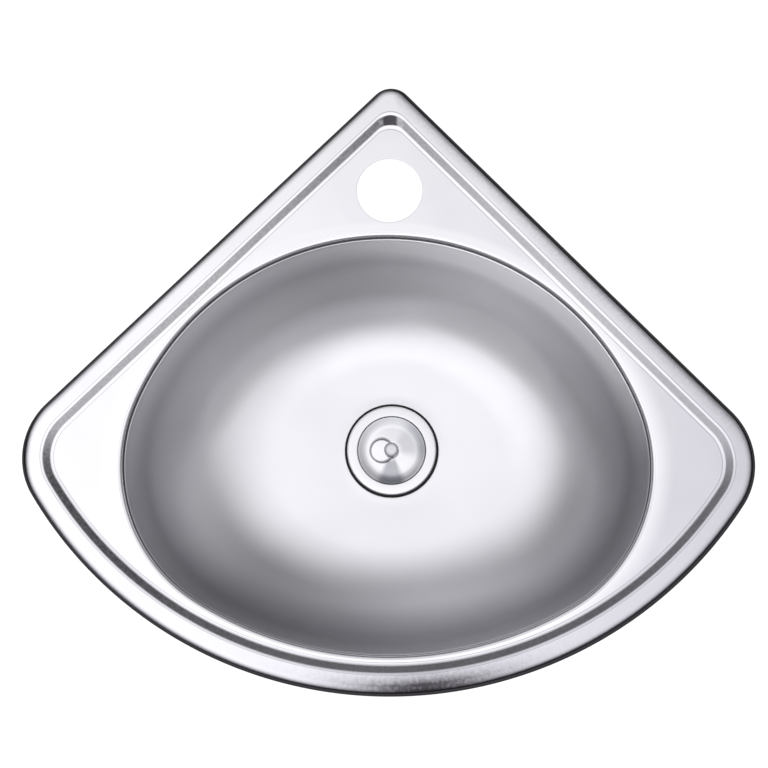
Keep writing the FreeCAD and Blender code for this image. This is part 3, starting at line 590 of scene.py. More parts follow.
def mouth_arcs():
    """The four arcs as (centre, radius, start, end, steps), clockwise from the back."""
    to_back = MOUTH_BACK_ROUND - MOUTH_END_ROUND
    to_front = MOUTH_FRONT_ROUND - MOUTH_END_ROUND
    spread = FRONT_Y - BACK_Y
    rise = (to_back**2 - to_front**2 + spread**2) / (2 * spread)
    end_x, end_y = math.sqrt(to_back**2 - rise**2), BACK_Y + rise
    side = math.degrees(math.atan2(end_y - BACK_Y, end_x))
    low = math.degrees(math.atan2(end_y - FRONT_Y, end_x))
    return [
        ((0.0, BACK_Y), MOUTH_BACK_ROUND, 180 - side, side, BACK_STEPS),
        ((end_x, end_y), MOUTH_END_ROUND, side, low, MOUTH_END_STEPS),
        ((0.0, FRONT_Y), MOUTH_FRONT_ROUND, low, -180 - low, MOUTH_FRONT_STEPS),
        ((-end_x, end_y), MOUTH_END_ROUND, -180 - low, -180 - side, MOUTH_END_STEPS),
    ]


def mouth_outline(grow):
    """The mouth's oval, moved outwards by grow."""
    return [p for c, r, start, end, steps in mouth_arcs() for p in arc_points(c, r + grow, start, end, steps)]


MOUTH_HALF_WIDTH = max(x for x, y in mouth_outline(0.0))
print("points in the mouth:", len(mouth_outline(0.0)), "half width:", round(MOUTH_HALF_WIDTH, 2))

# %% [markdown]
# ## The pressed deck
# On the real sink one sheet of steel, a millimetre thick, is pressed so that its edge rolls over, steps
# down to a flat deck and turns down again into a collar around the bowl. A CAD mesh of this shades badly,
# because its long thin triangles meet the bends at odd places. So the section is written out point by
# point, swept as rings along the outline, and only the flat parts are filled. A narrow flat ring beside
# each bend keeps the flat steel truly flat in the reflections.

# %% Sections of the deck
RIM_TOP, DECK_TOP, SHEET, SEAM = 7.0, 3.0, 1.0, -4.0
RIM_BEND, RIM_WIDTH, STEP_RUN = 6.5, 13.6, 5.0
CREST_BEND, ROOT_BEND, COLLAR_BEND = 3.0, 4.0, 3.0
ROLL_STEPS, CREST_STEPS, ROOT_STEPS, COLLAR_STEPS, HOLD = 14, 8, 10, 12, 0.3
STEP_SLOPE = math.degrees(math.atan2(RIM_TOP - DECK_TOP, STEP_RUN))
HALF_TURN = math.tan(math.radians(STEP_SLOPE / 2))


def bend(centre, radius, start, end, steps):
    """Section points along a bend, both ends included."""
    return arc_points(centre, radius, start, end, steps) + arc_points(centre, radius, end, end, 1)


def rim_section(skin):
    """From the rim's lower edge over the rim and down the step, as (inset, height), skin below the top."""
    crest = (RIM_WIDTH - CREST_BEND * HALF_TURN, RIM_TOP - CREST_BEND)
    root = (RIM_WIDTH + STEP_RUN + ROOT_BEND * HALF_TURN, DECK_TOP + ROOT_BEND)
    roll = bend((RIM_BEND, RIM_TOP - RIM_BEND), RIM_BEND - skin, 180, 90, ROLL_STEPS)
    over = bend(crest, CREST_BEND - skin, 90, 90 - STEP_SLOPE, CREST_STEPS)
    under = bend(root, ROOT_BEND + skin, 270 - STEP_SLOPE, 270, ROOT_STEPS)
    flat_start = (roll[-1][0] + HOLD, roll[-1][1])
    flat_end = (over[0][0] - HOLD, over[0][1])
    deck_start = (under[-1][0] + HOLD, under[-1][1])
    skirt = [(skin, 0.0), (skin, HOLD)]
    return skirt + roll + [flat_start, flat_end] + over + under + [deck_start]


def collar_section(skin):
    """From the deck down the collar to its lower edge, as (outwards from the mouth, height)."""
    turn = bend((COLLAR_BEND, DECK_TOP - COLLAR_BEND), COLLAR_BEND - skin, 90, 180, COLLAR_STEPS)
    deck_end = (turn[0][0] + HOLD, turn[0][1])
    return [deck_end] + turn + [(skin, turn[-1][1] - HOLD), (skin, SEAM + HOLD), (skin, SEAM)]


print("section points:", len(rim_section(0.0)), "for the rim,", len(collar_section(0.0)), "for the collar")

# %% [markdown]
# The upper and the lower skin of the sheet are swept in the same way and joined at the outer edge and at the
# collar's lower edge. A tap goes through a round hole in the corner. It is punched, which leaves a tiny
# rounding on both faces, and it belongs to the same mesh, so that the flat deck is filled around it.

# %% Deck mesh
TAP_RADIUS, TAP_BEHIND_MOUTH, TAP_STEPS = 20.6, 29.5, 96
TAP_REACH = BACK_Y + MOUTH_BACK_ROUND + TAP_BEHIND_MOUTH
TAP_EDGE = [(0.5, 0.0), (0.2, 0.0), (0.06, 0.06), (0.0, 0.2), (0.0, 0.5)]


def sweep(mesh, section, outline):
    """Rings along an outline for each section point, joined in order."""
    rings = [ring_of_vertices(mesh, outline(across), height) for across, height in section]
    for first, second in zip(rings, rings[1:]):
        join_rings(mesh, first, second)
    return rings


def tap_outline(grow):
    """The tap hole's circle, moved outwards by grow."""
    return arc_points((0.0, TAP_REACH), TAP_RADIUS + grow, 0, -360, TAP_STEPS)


def fill_flat(mesh, loops):
    """Flat faces in the space between closed loops of vertices."""
    pairs = [(loop[i], loop[(i + 1) % len(loop)]) for loop in loops for i in range(len(loop))]
    bmesh.ops.triangle_fill(mesh, use_beauty=True, edges=[mesh.edges.get(pair) for pair in pairs])


deck_mesh = bmesh.new()
painted_shade = deck_mesh.verts.layers.float.new("painted_shade")
painted_line = deck_mesh.verts.layers.float.new("painted_line")
tap_section = [(grow, DECK_TOP - drop) for grow, drop in TAP_EDGE]
tap_section += [(grow, DECK_TOP - SHEET + drop) for grow, drop in reversed(TAP_EDGE[:-1])]
tap_rings = sweep(deck_mesh, tap_section, tap_outline)
rim_rings = [sweep(deck_mesh, rim_section(skin), rim_outline) for skin in (0.0, SHEET)]
collar_rings = [sweep(deck_mesh, collar_section(skin), mouth_outline) for skin in (0.0, SHEET)]
join_rings(deck_mesh, rim_rings[0][0], rim_rings[1][0])
join_rings(deck_mesh, collar_rings[0][-1], collar_rings[1][-1])
fill_flat(deck_mesh, [rim_rings[0][-1], collar_rings[0][0], tap_rings[0]])
fill_flat(deck_mesh, [rim_rings[1][-1], collar_rings[1][0], tap_rings[-1]])
print("deck mesh:", len(deck_mesh.verts), "vertices")

# %% [markdown]
# Shade and reflections are painted on this sheet. Its rolled edge is painted dark, a little wider and
# softer at the left end, with a thin painted shade along the right wall side, and the front of the rim is
# painted darker and mottled. The step's slope is painted darker: at the sides of the front and at both
# ends, less along the wall sides, and most in the tight wall corner. All this is kept as numbers on the
# vertices, so that the finish can read them wherever the sheet bends.

# %% Painted shade on the rim and the step
EDGE_SHADE, EDGE_TO_RIGHT, EDGE_FADE, DARKEST = 4.4, 0.6, 1.8, 1.3
LEFT_END_WIDER, LEFT_END_SOFTER, LEFT_END_TIGHT = 3.0, 1.6, 6
VEIL, VEIL_FADE = 1.8, 0.13
MOTTLE, MOTTLE_FADE, MOTTLE_MIDDLE, MOTTLE_SPREAD = 1.8, 0.1, 0.1, 0.27
STEP_TONE, STEP_TO_RIGHT, STEP_SIDES, STEP_ENDS, STEP_FADE = 0.62, 0.12, 0.32, 0.1, 6.0
CORNER_TONE, CORNER_TIGHT, NEAR_CORNER, NEAR_CORNER_TONE = 0.35, 12.0, 100.0, 0.0028
rim_facing = [(a[0] - b[0], a[1] - b[1]) for a, b in zip(rim_outline(0.0), rim_outline(1.0))]


def step_mark(inset, right, back, reach):
    """How dark the step is at this inset and reach to the back, where it faces to the right and back."""
    off_middle = abs((inset - RIM_WIDTH) / STEP_RUN - 0.5)
    down = min(1.0, max(0.0, (0.5 - off_middle) * STEP_FADE))
    around = STEP_TONE - STEP_TO_RIGHT * right
    around += STEP_ENDS * (1.0 - abs(back)) - STEP_SIDES * abs(right) * back
    corner = CORNER_TONE * math.exp(CORNER_TIGHT * (back - 1.0))
    return down * (around + corner + NEAR_CORNER_TONE * max(0.0, reach - NEAR_CORNER))


def rim_mark(inset, right, back):
    """How dark the rim is painted at this inset from its edge, side shade and mottled front, where it faces
    that way.
    """
    left_end = max(0.0, -right) ** LEFT_END_TIGHT
    edge = EDGE_SHADE + EDGE_TO_RIGHT * right + LEFT_END_WIDER * left_end - inset
    edge = edge / (EDGE_FADE + LEFT_END_SOFTER * left_end)
    veil = (VEIL - VEIL_FADE * inset) * max(0.0, right) * max(0.0, back)
    mottled = min(1.0, MOTTLE - MOTTLE_FADE * inset) * math.exp(-(((right - MOTTLE_MIDDLE) / MOTTLE_SPREAD) ** 2))
    mottled = mottled if back < 0.0 else 0.0
    return min(DARKEST, max(edge, veil, mottled, 0.0)) if inset > 0.0 else 0.0


# Painted shade numbers for the rim and the step.
for ring, (inset, height) in zip(rim_rings[0], rim_section(0.0)):
    for vertex, (right, back) in zip(ring, rim_facing):
        on_step = inset > RIM_WIDTH
        reach = vertex.co.y / MM
        vertex[painted_shade] = step_mark(inset, right, back, reach) if on_step else rim_mark(inset, right, back)
marks = [vertex[painted_shade] for ring in rim_rings[0] for vertex in ring]
print("marks on the rim from", round(min(marks), 2), "to", round(max(marks), 2))

# %% [markdown]
# Two finer marks of painted shade are left. A dark line is painted on both sides of the step, and one on
# the collar's bend, and the collar is painted dark where it turns down to the seam. They follow the sheet's
# own rings, so whole rings are marked. Then the deck is complete and becomes a piece.

# %% Painted lines and collar shade
COLLAR_SHADE_STOPS = [(3.3, 0.0), (0.5, 0.0), (0.1, 0.9), (-1.0, 0.9)]
STEP_LINE, COLLAR_LINE = 0.7, 0.5


def collar_shade(outwards):
    """How dark the collar is painted at this distance outwards from the mouth."""
    for (far, light), (near, dark) in zip(COLLAR_SHADE_STOPS, COLLAR_SHADE_STOPS[1:]):
        if near <= outwards <= far:
            return light + (dark - light) * (far - outwards) / (far - near)
    return 0.0


for ring, (outwards, height) in zip(collar_rings[0], collar_section(0.0)):
    for vertex in ring:
        vertex[painted_shade] = collar_shade(outwards)
crest_start = [i for i, (inset, height) in enumerate(rim_section(0.0)) if inset > RIM_BEND + HOLD][1]
for number in (crest_start, crest_start + 1, len(rim_rings[0]) - 3, len(rim_rings[0]) - 2):
    for vertex in rim_rings[0][number]:
        vertex[painted_line] = STEP_LINE
for vertex in collar_rings[0][2] + collar_rings[0][3]:
    vertex[painted_line] = COLLAR_LINE
deck = piece_from(deck_mesh, "pressed_deck", crisp=50.0)
place(deck, "sink", "satin_steel", deck_steel, "deck_panel")

# %% [markdown]
# ## The drawn bowl
# The bowl is a deep drawing: straight walls with a slight draft, one wide bend, and a floor that falls to
# the drain. Its levels all follow one rule, so Geometry Nodes can make it. The tree takes two small
# meshes: the mouth's points, each with its outward direction, and a list of levels, each a scale, a step
# outwards and a height. A grid then gets its place by looking both lists up. Near the floor the scale goes
# to zero and the step outwards takes over, which turns the oval smoothly into the round drain.

# %% Helpers for Geometry Nodes
WELD_WITHIN = 1e-6


def new_tree(name, **inputs):
    """A node tree with named inputs, its input and output nodes and a geometry output."""
    tree = bpy.data.node_groups.new(name, "GeometryNodeTree")
    tree.interface.new_socket("Geometry", in_out="OUTPUT", socket_type="NodeSocketGeometry")
    for label, kind in inputs.items():
        tree.interface.new_socket(label, in_out="INPUT", socket_type="NodeSocket" + kind)
    return tree, tree.nodes.new("NodeGroupInput").outputs, tree.nodes.new("NodeGroupOutput").inputs


def grow_mesh(tree, name, **values):
    """Runs a tree once with these input values and gives its result as plain mesh data."""
    carrier = bpy.data.objects.new(name, bpy.data.meshes.new(name))
    bpy.context.scene.collection.objects.link(carrier)
    modifier = carrier.modifiers.new(name, "NODES")
    modifier.node_group = tree
    sockets = {item.name: item.identifier for item in tree.interface.items_tree if item.in_out == "INPUT"}
    for label, value in values.items():
        modifier[sockets[label]] = value
    shaped = carrier.evaluated_get(bpy.context.evaluated_depsgraph_get())
    data = bpy.data.meshes.new_from_object(shaped)
    bpy.data.objects.remove(carrier)
    return data


def grid_place(tree, rows):
    """The column and the row of each point of a grid, counted from nought."""
    index = node(tree, "GeometryNodeInputIndex")["Index"]
    column = maths(tree, "FLOOR", maths(tree, "DIVIDE", maths(tree, "ADD", index, 0.5), rows))
    return column, maths(tree, "SUBTRACT", index, maths(tree, "MULTIPLY", column, rows))


def move_grid(tree, grid, spot):
    """The grid with its points moved to their places and its seams welded."""
    moved = node(tree, "GeometryNodeSetPosition", Geometry=grid, Position=spot)["Geometry"]
    return node(tree, "GeometryNodeMergeByDistance", Geometry=moved, Distance=WELD_WITHIN)["Geometry"]


def hand_out(tree, shape, finish, result):
    """Makes the shape real, gives it its finish and hands it out of the tree."""
    real = node(tree, "GeometryNodeRealizeInstances", Geometry=shape)["Geometry"]
    coated = node(tree, "GeometryNodeSetMaterial", Geometry=real, Material=finish)["Geometry"]
    tree.links.new(coated, result["Geometry"])
    print("nodes in the tree", tree.name + ":", len(tree.nodes))


# %% Tree for the bowl
bowl_tree, given, result = new_tree("bowl from levels", Mouth="Object", Levels="Object", Finish="Material")
bowl_node = partial(node, bowl_tree)
mouth = bowl_node("GeometryNodeObjectInfo", Object=given["Mouth"])["Geometry"]
levels = bowl_node("GeometryNodeObjectInfo", Object=given["Levels"])["Geometry"]
around = bowl_node("GeometryNodeAttributeDomainSize", Geometry=mouth)["Point Count"]
down = bowl_node("GeometryNodeAttributeDomainSize", Geometry=levels)["Point Count"]
columns, rows = maths(bowl_tree, "ADD", around, 1), maths(bowl_tree, "ADD", down, 1)
grid = bowl_node("GeometryNodeMeshGrid", Vertices_X=columns, Vertices_Y=rows)["Mesh"]
column, row = grid_place(bowl_tree, rows)
column, row = maths(bowl_tree, "MODULO", column, around), maths(bowl_tree, "MODULO", row, down)
position = bowl_node("GeometryNodeInputPosition")["Position"]
vectors, scaling = {"data_type": "FLOAT_VECTOR"}, {"operation": "SCALE"}
outward = bowl_node("GeometryNodeInputNamedAttribute", vectors, Name="outward")["Attribute"]
edge = bowl_node("GeometryNodeSampleIndex", vectors, Geometry=mouth, Value=position, Index=column)["Value"]
away = bowl_node("GeometryNodeSampleIndex", vectors, Geometry=mouth, Value=outward, Index=column)["Value"]
level = bowl_node("GeometryNodeSampleIndex", vectors, Geometry=levels, Value=position, Index=row)["Value"]
share = bowl_node("ShaderNodeSeparateXYZ", Vector=level)
scaled = bowl_node("ShaderNodeVectorMath", scaling, Vector=edge, Scale=share["X"])["Vector"]
stepped = bowl_node("ShaderNodeVectorMath", scaling, Vector=away, Scale=share["Y"])["Vector"]
upright = bowl_node("ShaderNodeCombineXYZ", Z=share["Z"])["Vector"]
spot = vector_maths(bowl_tree, "ADD", vector_maths(bowl_tree, "ADD", scaled, stepped), upright)
hand_out(bowl_tree, move_grid(bowl_tree, grid, spot), given["Finish"], result)

# %% [markdown]
# The levels go once round the sheet: from the seam over a small rounded lip, down the wall, round the bend,
# along the falling floor to the drain hole, and back up the outside to the flat brim that is welded under the
# collar. The centre of the bend is solved, so that it touches the wall's line and the floor's line.

# %% Levels of the bowl
FLOOR, DRAFT, FALL, FLOOR_BEND = -123.0, math.radians(6.0), math.radians(3.0), 80.0
LEDGE, BRIM_WIDTH, DRAIN_FLAT, DRAIN_HOLE = 0.8, 3.5, 38.0, 24.2
LIP_HALF_WIDTH = MOUTH_HALF_WIDTH - LEDGE
LIP = [(-0.3, 0.0), (-0.65, 0.13), (-LEDGE - 0.05, 0.45)]
WALL_STEPS, BEND_STEPS, FLOOR_STEPS, OUTSIDE_STEPS, DRAIN_HOLD = 10, 32, 12, 8, 2.0


def blend_levels(first, second, steps):
    """Levels between two given ones, without the first and with the last."""
    shares = [(step + 1) / steps for step in range(steps)]
    return [tuple(a + (b - a) * share for a, b in zip(first, second)) for share in shares]


def bend_levels(skin):
    """The bend from wall to floor, one skin outside the bowl's inner face."""
    wall_line = LIP_HALF_WIDTH - SEAM * math.tan(DRAFT) - FLOOR_BEND / math.cos(DRAFT)
    floor_line = FLOOR - DRAIN_FLAT * math.tan(FALL) + FLOOR_BEND / math.cos(FALL)
    reach = (wall_line + floor_line * math.tan(DRAFT)) / (1 - math.tan(FALL) * math.tan(DRAFT))
    height = floor_line + reach * math.tan(FALL)
    levels = []
    for step in range(BEND_STEPS + 1):
        angle = -DRAFT + (FALL + DRAFT - math.pi / 2) * step / BEND_STEPS
        scale = (reach + FLOOR_BEND * math.cos(angle)) / LIP_HALF_WIDTH
        outwards = skin * math.cos(angle) - LEDGE * scale
        levels.append((scale, outwards, height + (FLOOR_BEND + skin) * math.sin(angle)))
    return levels


def bowl_levels():
    """All levels, down the inside, through the drain hole and up the outside to the brim."""
    lip = [(1.0, outwards, SEAM - drop) for outwards, drop in LIP]
    inner, outer = bend_levels(0.0), bend_levels(SHEET)
    inside = lip + blend_levels(lip[-1], inner[0], WALL_STEPS) + inner[1:]
    inside += blend_levels(inner[-1], (0.0, DRAIN_FLAT, FLOOR), FLOOR_STEPS)
    inside += [(0.0, DRAIN_FLAT - DRAIN_HOLD, FLOOR)]
    hole = [(0.0, DRAIN_HOLE + HOLD, FLOOR), (0.0, DRAIN_HOLE, FLOOR)]
    hole += [(0.0, DRAIN_HOLE, FLOOR - SHEET), (0.0, DRAIN_FLAT, FLOOR - SHEET)]
    outside = blend_levels(hole[-1], outer[-1], FLOOR_STEPS) + outer[-2::-1]
    corner = (1.0, SHEET / math.cos(DRAFT) - LEDGE, SEAM - SHEET)
    outside += blend_levels(outer[0], corner, OUTSIDE_STEPS)
    brim = [(1.0, BRIM_WIDTH, SEAM - SHEET), (1.0, BRIM_WIDTH, SEAM)]
    return inside + hole + outside + brim


print("levels of the bowl:", len(bowl_levels()))

# %% [markdown]
# Both lists become small meshes of loose points, the tree runs once with them, and they are thrown away. What
# is left is a plain mesh, which gets its outward faces and its crisp edges like any other piece.

# %% Bowl mesh
mouth_points = bpy.data.meshes.new("mouth_points")
mouth_points.from_pydata([(x * MM, y * MM, 0.0) for x, y in mouth_outline(0.0)], [], [])
outward_of = mouth_points.attributes.new("outward", "FLOAT_VECTOR", "POINT")
for spot, (inner, outer) in zip(outward_of.data, zip(mouth_outline(0.0), mouth_outline(1.0))):
    spot.vector = (outer[0] - inner[0], outer[1] - inner[1], 0.0)
level_points = bpy.data.meshes.new("level_points")
level_points.from_pydata([(scale, step * MM, height * MM) for scale, step, height in bowl_levels()], [], [])
mouth_list = bpy.data.objects.new("mouth_list", mouth_points)
level_list = bpy.data.objects.new("level_list", level_points)
bowl_data = grow_mesh(bowl_tree, "bowl", Mouth=mouth_list, Levels=level_list, Finish=bowl_steel)
for used in (mouth_list, level_list):
    bpy.data.objects.remove(used)
bowl_mesh = bmesh.new()
bowl_mesh.from_mesh(bowl_data)
bowl = piece_from(bowl_mesh, "drawn_bowl", crisp=40.0)
place(bowl, "sink", "bowl_steel", bowl_steel, "bowl")

# %% [markdown]
# ## Turned pieces
# The waste, the plug's cap and all the washers are round, so each is a closed profile turned about the
# drain axis. A lathe never leaves a perfect edge, and neither should a model: each corner of the profile
# carries its own small rounding, which catches the light.

# %% Helpers for turned pieces
NEARLY_STRAIGHT = math.radians(89.5)


def soften(corners, steps=6):
    """A closed profile of (radius, height, rounding) corners, with each corner rounded."""
    points = []
    for i, (r, z, rounding) in enumerate(corners):
        here = Vector((r, z))
        back = Vector(corners[i - 1][:2]) - here
        ahead = Vector(corners[(i + 1) % len(corners)][:2]) - here
        half = back.angle(ahead) / 2
        if rounding == 0.0 or half > NEARLY_STRAIGHT:
            points.append((r, z))
            continue
        back.normalize()
        ahead.normalize()
        start = here + back * rounding / math.tan(half)
        centre = here + (back + ahead).normalized() * rounding / math.sin(half)
        turn = Vector(start - centre).angle_signed(here + ahead * rounding / math.tan(half) - centre)
        for step in range(steps + 1):
            spoke = (start - centre).copy()
            spoke.rotate(Matrix.Rotation(-turn * step / steps, 2))
            points.append(tuple(centre + spoke))
    return points


def turn_profile(mesh, profile, around=144):
    """A closed profile turned about the drain axis."""
    rings = [ring_of_vertices(mesh, arc_points((0.0, 0.0), r, 0, 360, around), z) for r, z in profile]
    for first, second in zip(rings, rings[1:] + rings[:1]):
        join_rings(mesh, first, second)


def turned_piece(name, corners, crisp=CRISP_ANGLE):
    """A round piece from the corners of its profile."""
    mesh = bmesh.new()
    turn_profile(mesh, soften(corners))
    return piece_from(mesh, name, crisp)


# %% [markdown]
# ## A tree for screw threads
# Two sizes of thread are needed: the wide one on the waste, for the trap, and the small one on the clip
# bolts. A thread follows a rule, so one tree with named sizes makes both: a tube of fine rings whose
# radius rises and falls with its height plus its turn, fading out at both ends.

# %% Tree for threads
RINGS_PER_TURN = 8
thread_tree, given, result = new_tree(
    "screw thread",
    Radius="Float", Depth="Float", Pitch="Float", Top="Float", Length="Float",
    Sides="Int", Rows="Int", Finish="Material",
)
thread_sum = partial(maths, thread_tree)
columns = thread_sum("ADD", given["Sides"], 1)
tube = node(thread_tree, "GeometryNodeMeshGrid", Vertices_X=columns, Vertices_Y=given["Rows"])["Mesh"]
column, row = grid_place(thread_tree, given["Rows"])
turn = thread_sum("DIVIDE", thread_sum("MODULO", column, given["Sides"]), given["Sides"])
share = thread_sum("DIVIDE", row, thread_sum("SUBTRACT", given["Rows"], 1))
drop = thread_sum("MULTIPLY", share, given["Length"])
phase = thread_sum("FRACT", thread_sum("ADD", thread_sum("DIVIDE", drop, given["Pitch"]), turn))
ridge = thread_sum("ABSOLUTE", thread_sum("SUBTRACT", thread_sum("MULTIPLY", phase, 2), 1))
to_end = thread_sum("MINIMUM", drop, thread_sum("SUBTRACT", given["Length"], drop))
fade = thread_sum("MINIMUM", thread_sum("DIVIDE", to_end, given["Pitch"]), 1)
cut = thread_sum("SUBTRACT", 1, thread_sum("MULTIPLY", ridge, fade))
radius = thread_sum("SUBTRACT", given["Radius"], thread_sum("MULTIPLY", cut, given["Depth"]))
angle = thread_sum("MULTIPLY", turn, 2 * math.pi)
across = thread_sum("MULTIPLY", radius, thread_sum("COSINE", angle))
along = thread_sum("MULTIPLY", radius, thread_sum("SINE", angle))
height = thread_sum("SUBTRACT", given["Top"], drop)
spot = node(thread_tree, "ShaderNodeCombineXYZ", X=across, Y=along, Z=height)["Vector"]
hand_out(thread_tree, move_grid(thread_tree, tube, spot), given["Finish"], result)


def thread_data(name, radius, depth, pitch, top, length, sides, finish):
    """A thread about the Z axis, from top downwards, with all sizes in millimetres."""
    return grow_mesh(
        thread_tree, name, Radius=radius * MM, Depth=depth * MM, Pitch=pitch * MM, Top=top * MM,
        Length=length * MM, Sides=sides, Rows=int(RINGS_PER_TURN * length / pitch) + 1, Finish=finish,
    )


# %% [markdown]
# ## The waste
# The waste is what the water leaves through: a polished flange, a cone that the plug closes on, and a neck
# that passes through the bowl and is threaded for the trap. Black rubber lies under the flange and shows
# as a dark ring. Below the bowl a second rubber, a nylon washer and a brass nut clamp it all together.

# %% Waste
FLANGE_RADIUS, FLANGE_TOP, FLANGE_UNDER, NECK_END = 31.0, -118.8, -121.0, -179.0
SEAT_RADIUS, SEAT_DEPTH, SEAT_ANGLE = 24.0, 6.5, math.radians(30.0)
LEDGE_TOP, LEDGE_UNDER, LEDGE_WIDTH, OUTLET_RADIUS = -136.8, -138.8, 1.6, 21.0
NECK_RADIUS, THREAD_DEPTH, THREAD_PITCH, THREAD_TOP, THREAD_LENGTH = 23.9, 1.2, 2.309, -139.0, 39.5
PLAIN_NECK_END, UNDER_THREAD, WASTE_SIDES, THREAD_SIDES = -137.0, 0.05, 192, 96
neck_core = NECK_RADIUS - THREAD_DEPTH - UNDER_THREAD
seat_foot = SEAT_RADIUS - SEAT_DEPTH * math.tan(SEAT_ANGLE)
waste_corners = [
    (NECK_RADIUS, FLANGE_UNDER, 0.2), (FLANGE_RADIUS, FLANGE_UNDER, 0.3), (FLANGE_RADIUS, FLANGE_TOP, 1.2),
    (SEAT_RADIUS, FLANGE_TOP, 0.7), (seat_foot, FLANGE_TOP - SEAT_DEPTH, 0.8), (seat_foot, LEDGE_TOP, 0.1),
    (seat_foot - LEDGE_WIDTH, LEDGE_TOP, 0.1), (seat_foot - LEDGE_WIDTH, LEDGE_UNDER, 0.2),
    (OUTLET_RADIUS, LEDGE_UNDER, 0.1), (OUTLET_RADIUS, NECK_END, 0.4), (neck_core, NECK_END, 0.4),
    (neck_core, PLAIN_NECK_END, 0.2), (NECK_RADIUS, PLAIN_NECK_END, 0.2),
]
waste_mesh = bmesh.new()
turn_profile(waste_mesh, soften(waste_corners), WASTE_SIDES)
neck_thread = thread_data(
    "neck", NECK_RADIUS, THREAD_DEPTH, THREAD_PITCH, THREAD_TOP, THREAD_LENGTH, THREAD_SIDES, spun_steel
)
waste_mesh.from_mesh(neck_thread)
waste = piece_from(waste_mesh, "waste", crisp=40.0)
place(waste, "sink", "polished_steel", spun_steel, "waste_body")

# %% [markdown]
# The three rings that seal and clamp the waste are the same plain shape in different sizes, so one helper
# turns them all. It is given the ring's outer radius, its lower and upper height, and the rounding of its
# inner, lower and upper edges: soft for the rubbers, and almost sharp for the nylon.

# %% Rings that seal and clamp the waste
PASSAGE = 24.2


def clamped_ring(name, reach, under, top, inner_round, lower_round, upper_round):
    """A flat ring around the waste's neck."""
    lower = [(PASSAGE, under, inner_round), (reach, under, lower_round)]
    return turned_piece(name, lower + [(reach, top, upper_round), (PASSAGE, top, inner_round)])


flange_gasket = clamped_ring("flange_rubber", 32.7, -123.0, -121.0, 0.2, 0.5, 0.9)
place(flange_gasket, "sink", "black_rubber", rubber, "flange_gasket")
lower_gasket = clamped_ring("lower_rubber", 34.0, -127.0, -124.0, 0.3, 0.8, 0.8)
place(lower_gasket, "sink", "black_rubber", rubber, "lower_gasket")
slip_washer = clamped_ring("nylon_washer", 33.0, -128.0, -127.0, 0.2, 0.3, 0.3)
place(slip_washer, "sink", "white_nylon", nylon, "slip_washer")

# %% [markdown]
# ## The plug
# The plug is a dished cap of polished steel over a moulded core, with a rubber ring between them that
# closes on the waste's cone. A button knob is screwed through the middle, and a thin wire ring hangs in
# its cross hole. The cap and the core are turned here. A large rounding at the foot of the cap's border
# makes the soft dish.

# %% Cap and core
CAP_TOP, DISH, KNOB_BASE, CAP_SHEET = -119.3, -121.6, -120.8, 0.8
SCREW_HOLE, CAP_RADIUS, DISH_RADIUS, DISH_ROUND = 2.1, 23.4, 18.4, 14.0
CORE_RADIUS, CORE_TOP, CORE_LIP, LIP_TOP, LIP_SHEET = 16.9, -122.33, 1.7, -124.1, 1.6
CAP_UNDERSIDE = [(18.02, -122.38, 0.3), (23.07, -120.03, 0.12)]
core_under, lip_radius = LIP_TOP - LIP_SHEET, CORE_RADIUS + CORE_LIP
cap = turned_piece(
    "plug_cap_polished",
    [
        (CAP_RADIUS, CAP_TOP, 0.12), (DISH_RADIUS, DISH, DISH_ROUND), (SCREW_HOLE, KNOB_BASE, 0.1),
        (SCREW_HOLE, KNOB_BASE - CAP_SHEET, 0.1), *CAP_UNDERSIDE,
    ],
    crisp=50.0,
)
place(cap, "plug", "polished_steel", cap_steel, "plug_cap")
core = turned_piece(
    "plug_core_moulded",
    [
        (SCREW_HOLE, KNOB_BASE - CAP_SHEET, 0.1), (CORE_RADIUS, CORE_TOP, 0.2), (CORE_RADIUS, LIP_TOP, 0.2),
        (lip_radius, LIP_TOP, 0.2), (lip_radius, core_under, 0.5), (SCREW_HOLE, core_under, 0.2),
    ],
)
place(core, "plug", "grey_plastic", grey_plastic, "plug_core")

# %% [markdown]
# The knob keeps its CAD shape, because of the cross hole, and so do the rubber and the nut below it. Their
# loose triangles are merged into one surface first. Where a piece has sharp edges that would be broken on
# the real one, flat faces are joined and a small bevel is run along the edges.

# %% Rubber, knob and nut
SOLID_MERGE, FLAT_WITHIN, SHARP_FROM = 2e-6, math.radians(1.0), math.radians(50.0)


def copy_of_solid(node_name, name, crisp=CRISP_ANGLE, soft_edge=0.0):
    """A merged copy of a CAD solid's mesh, with its edges softened by soft_edge millimetres."""
    mesh = bmesh.new()
    mesh.from_mesh(frame["nodes"][node_name].data)
    bmesh.ops.remove_doubles(mesh, verts=mesh.verts, dist=SOLID_MERGE)
    if soft_edge:
        bmesh.ops.dissolve_limit(
            mesh, angle_limit=FLAT_WITHIN, use_dissolve_boundaries=False, verts=mesh.verts, edges=mesh.edges
        )
        sharp = [e for e in mesh.edges if e.is_manifold and e.calc_face_angle() > SHARP_FROM]
        bmesh.ops.bevel(
            mesh, geom=sharp, offset=soft_edge * MM, offset_type="OFFSET", segments=2, profile=0.5,
            affect="EDGES", clamp_overlap=True,
        )
    data = bpy.data.meshes.new(name)
    mesh.to_mesh(data)
    mesh.free()
    return piece_of_data(data, name, crisp)


plug_rubber = copy_of_solid("plug_seal", "plug_rubber")
place(plug_rubber, "plug", "black_rubber", rubber, "plug_seal")
knob = copy_of_solid("plug_knob", "button_knob")
place(knob, "plug", "polished_steel", knob_steel, "plug_knob")
plug_nut = copy_of_solid("plug_nut", "plug_nut_zinc", soft_edge=0.15)
place(plug_nut, "plug", "zinc_steel", zinc, "plug_nut")

# %% [markdown]
# The pull ring is one loop of wire, a torus. It lies to the left, resting on the cap, so it is made flat
# about its own middle, tilted about the knob's cross hole and moved into place, all in the mesh.

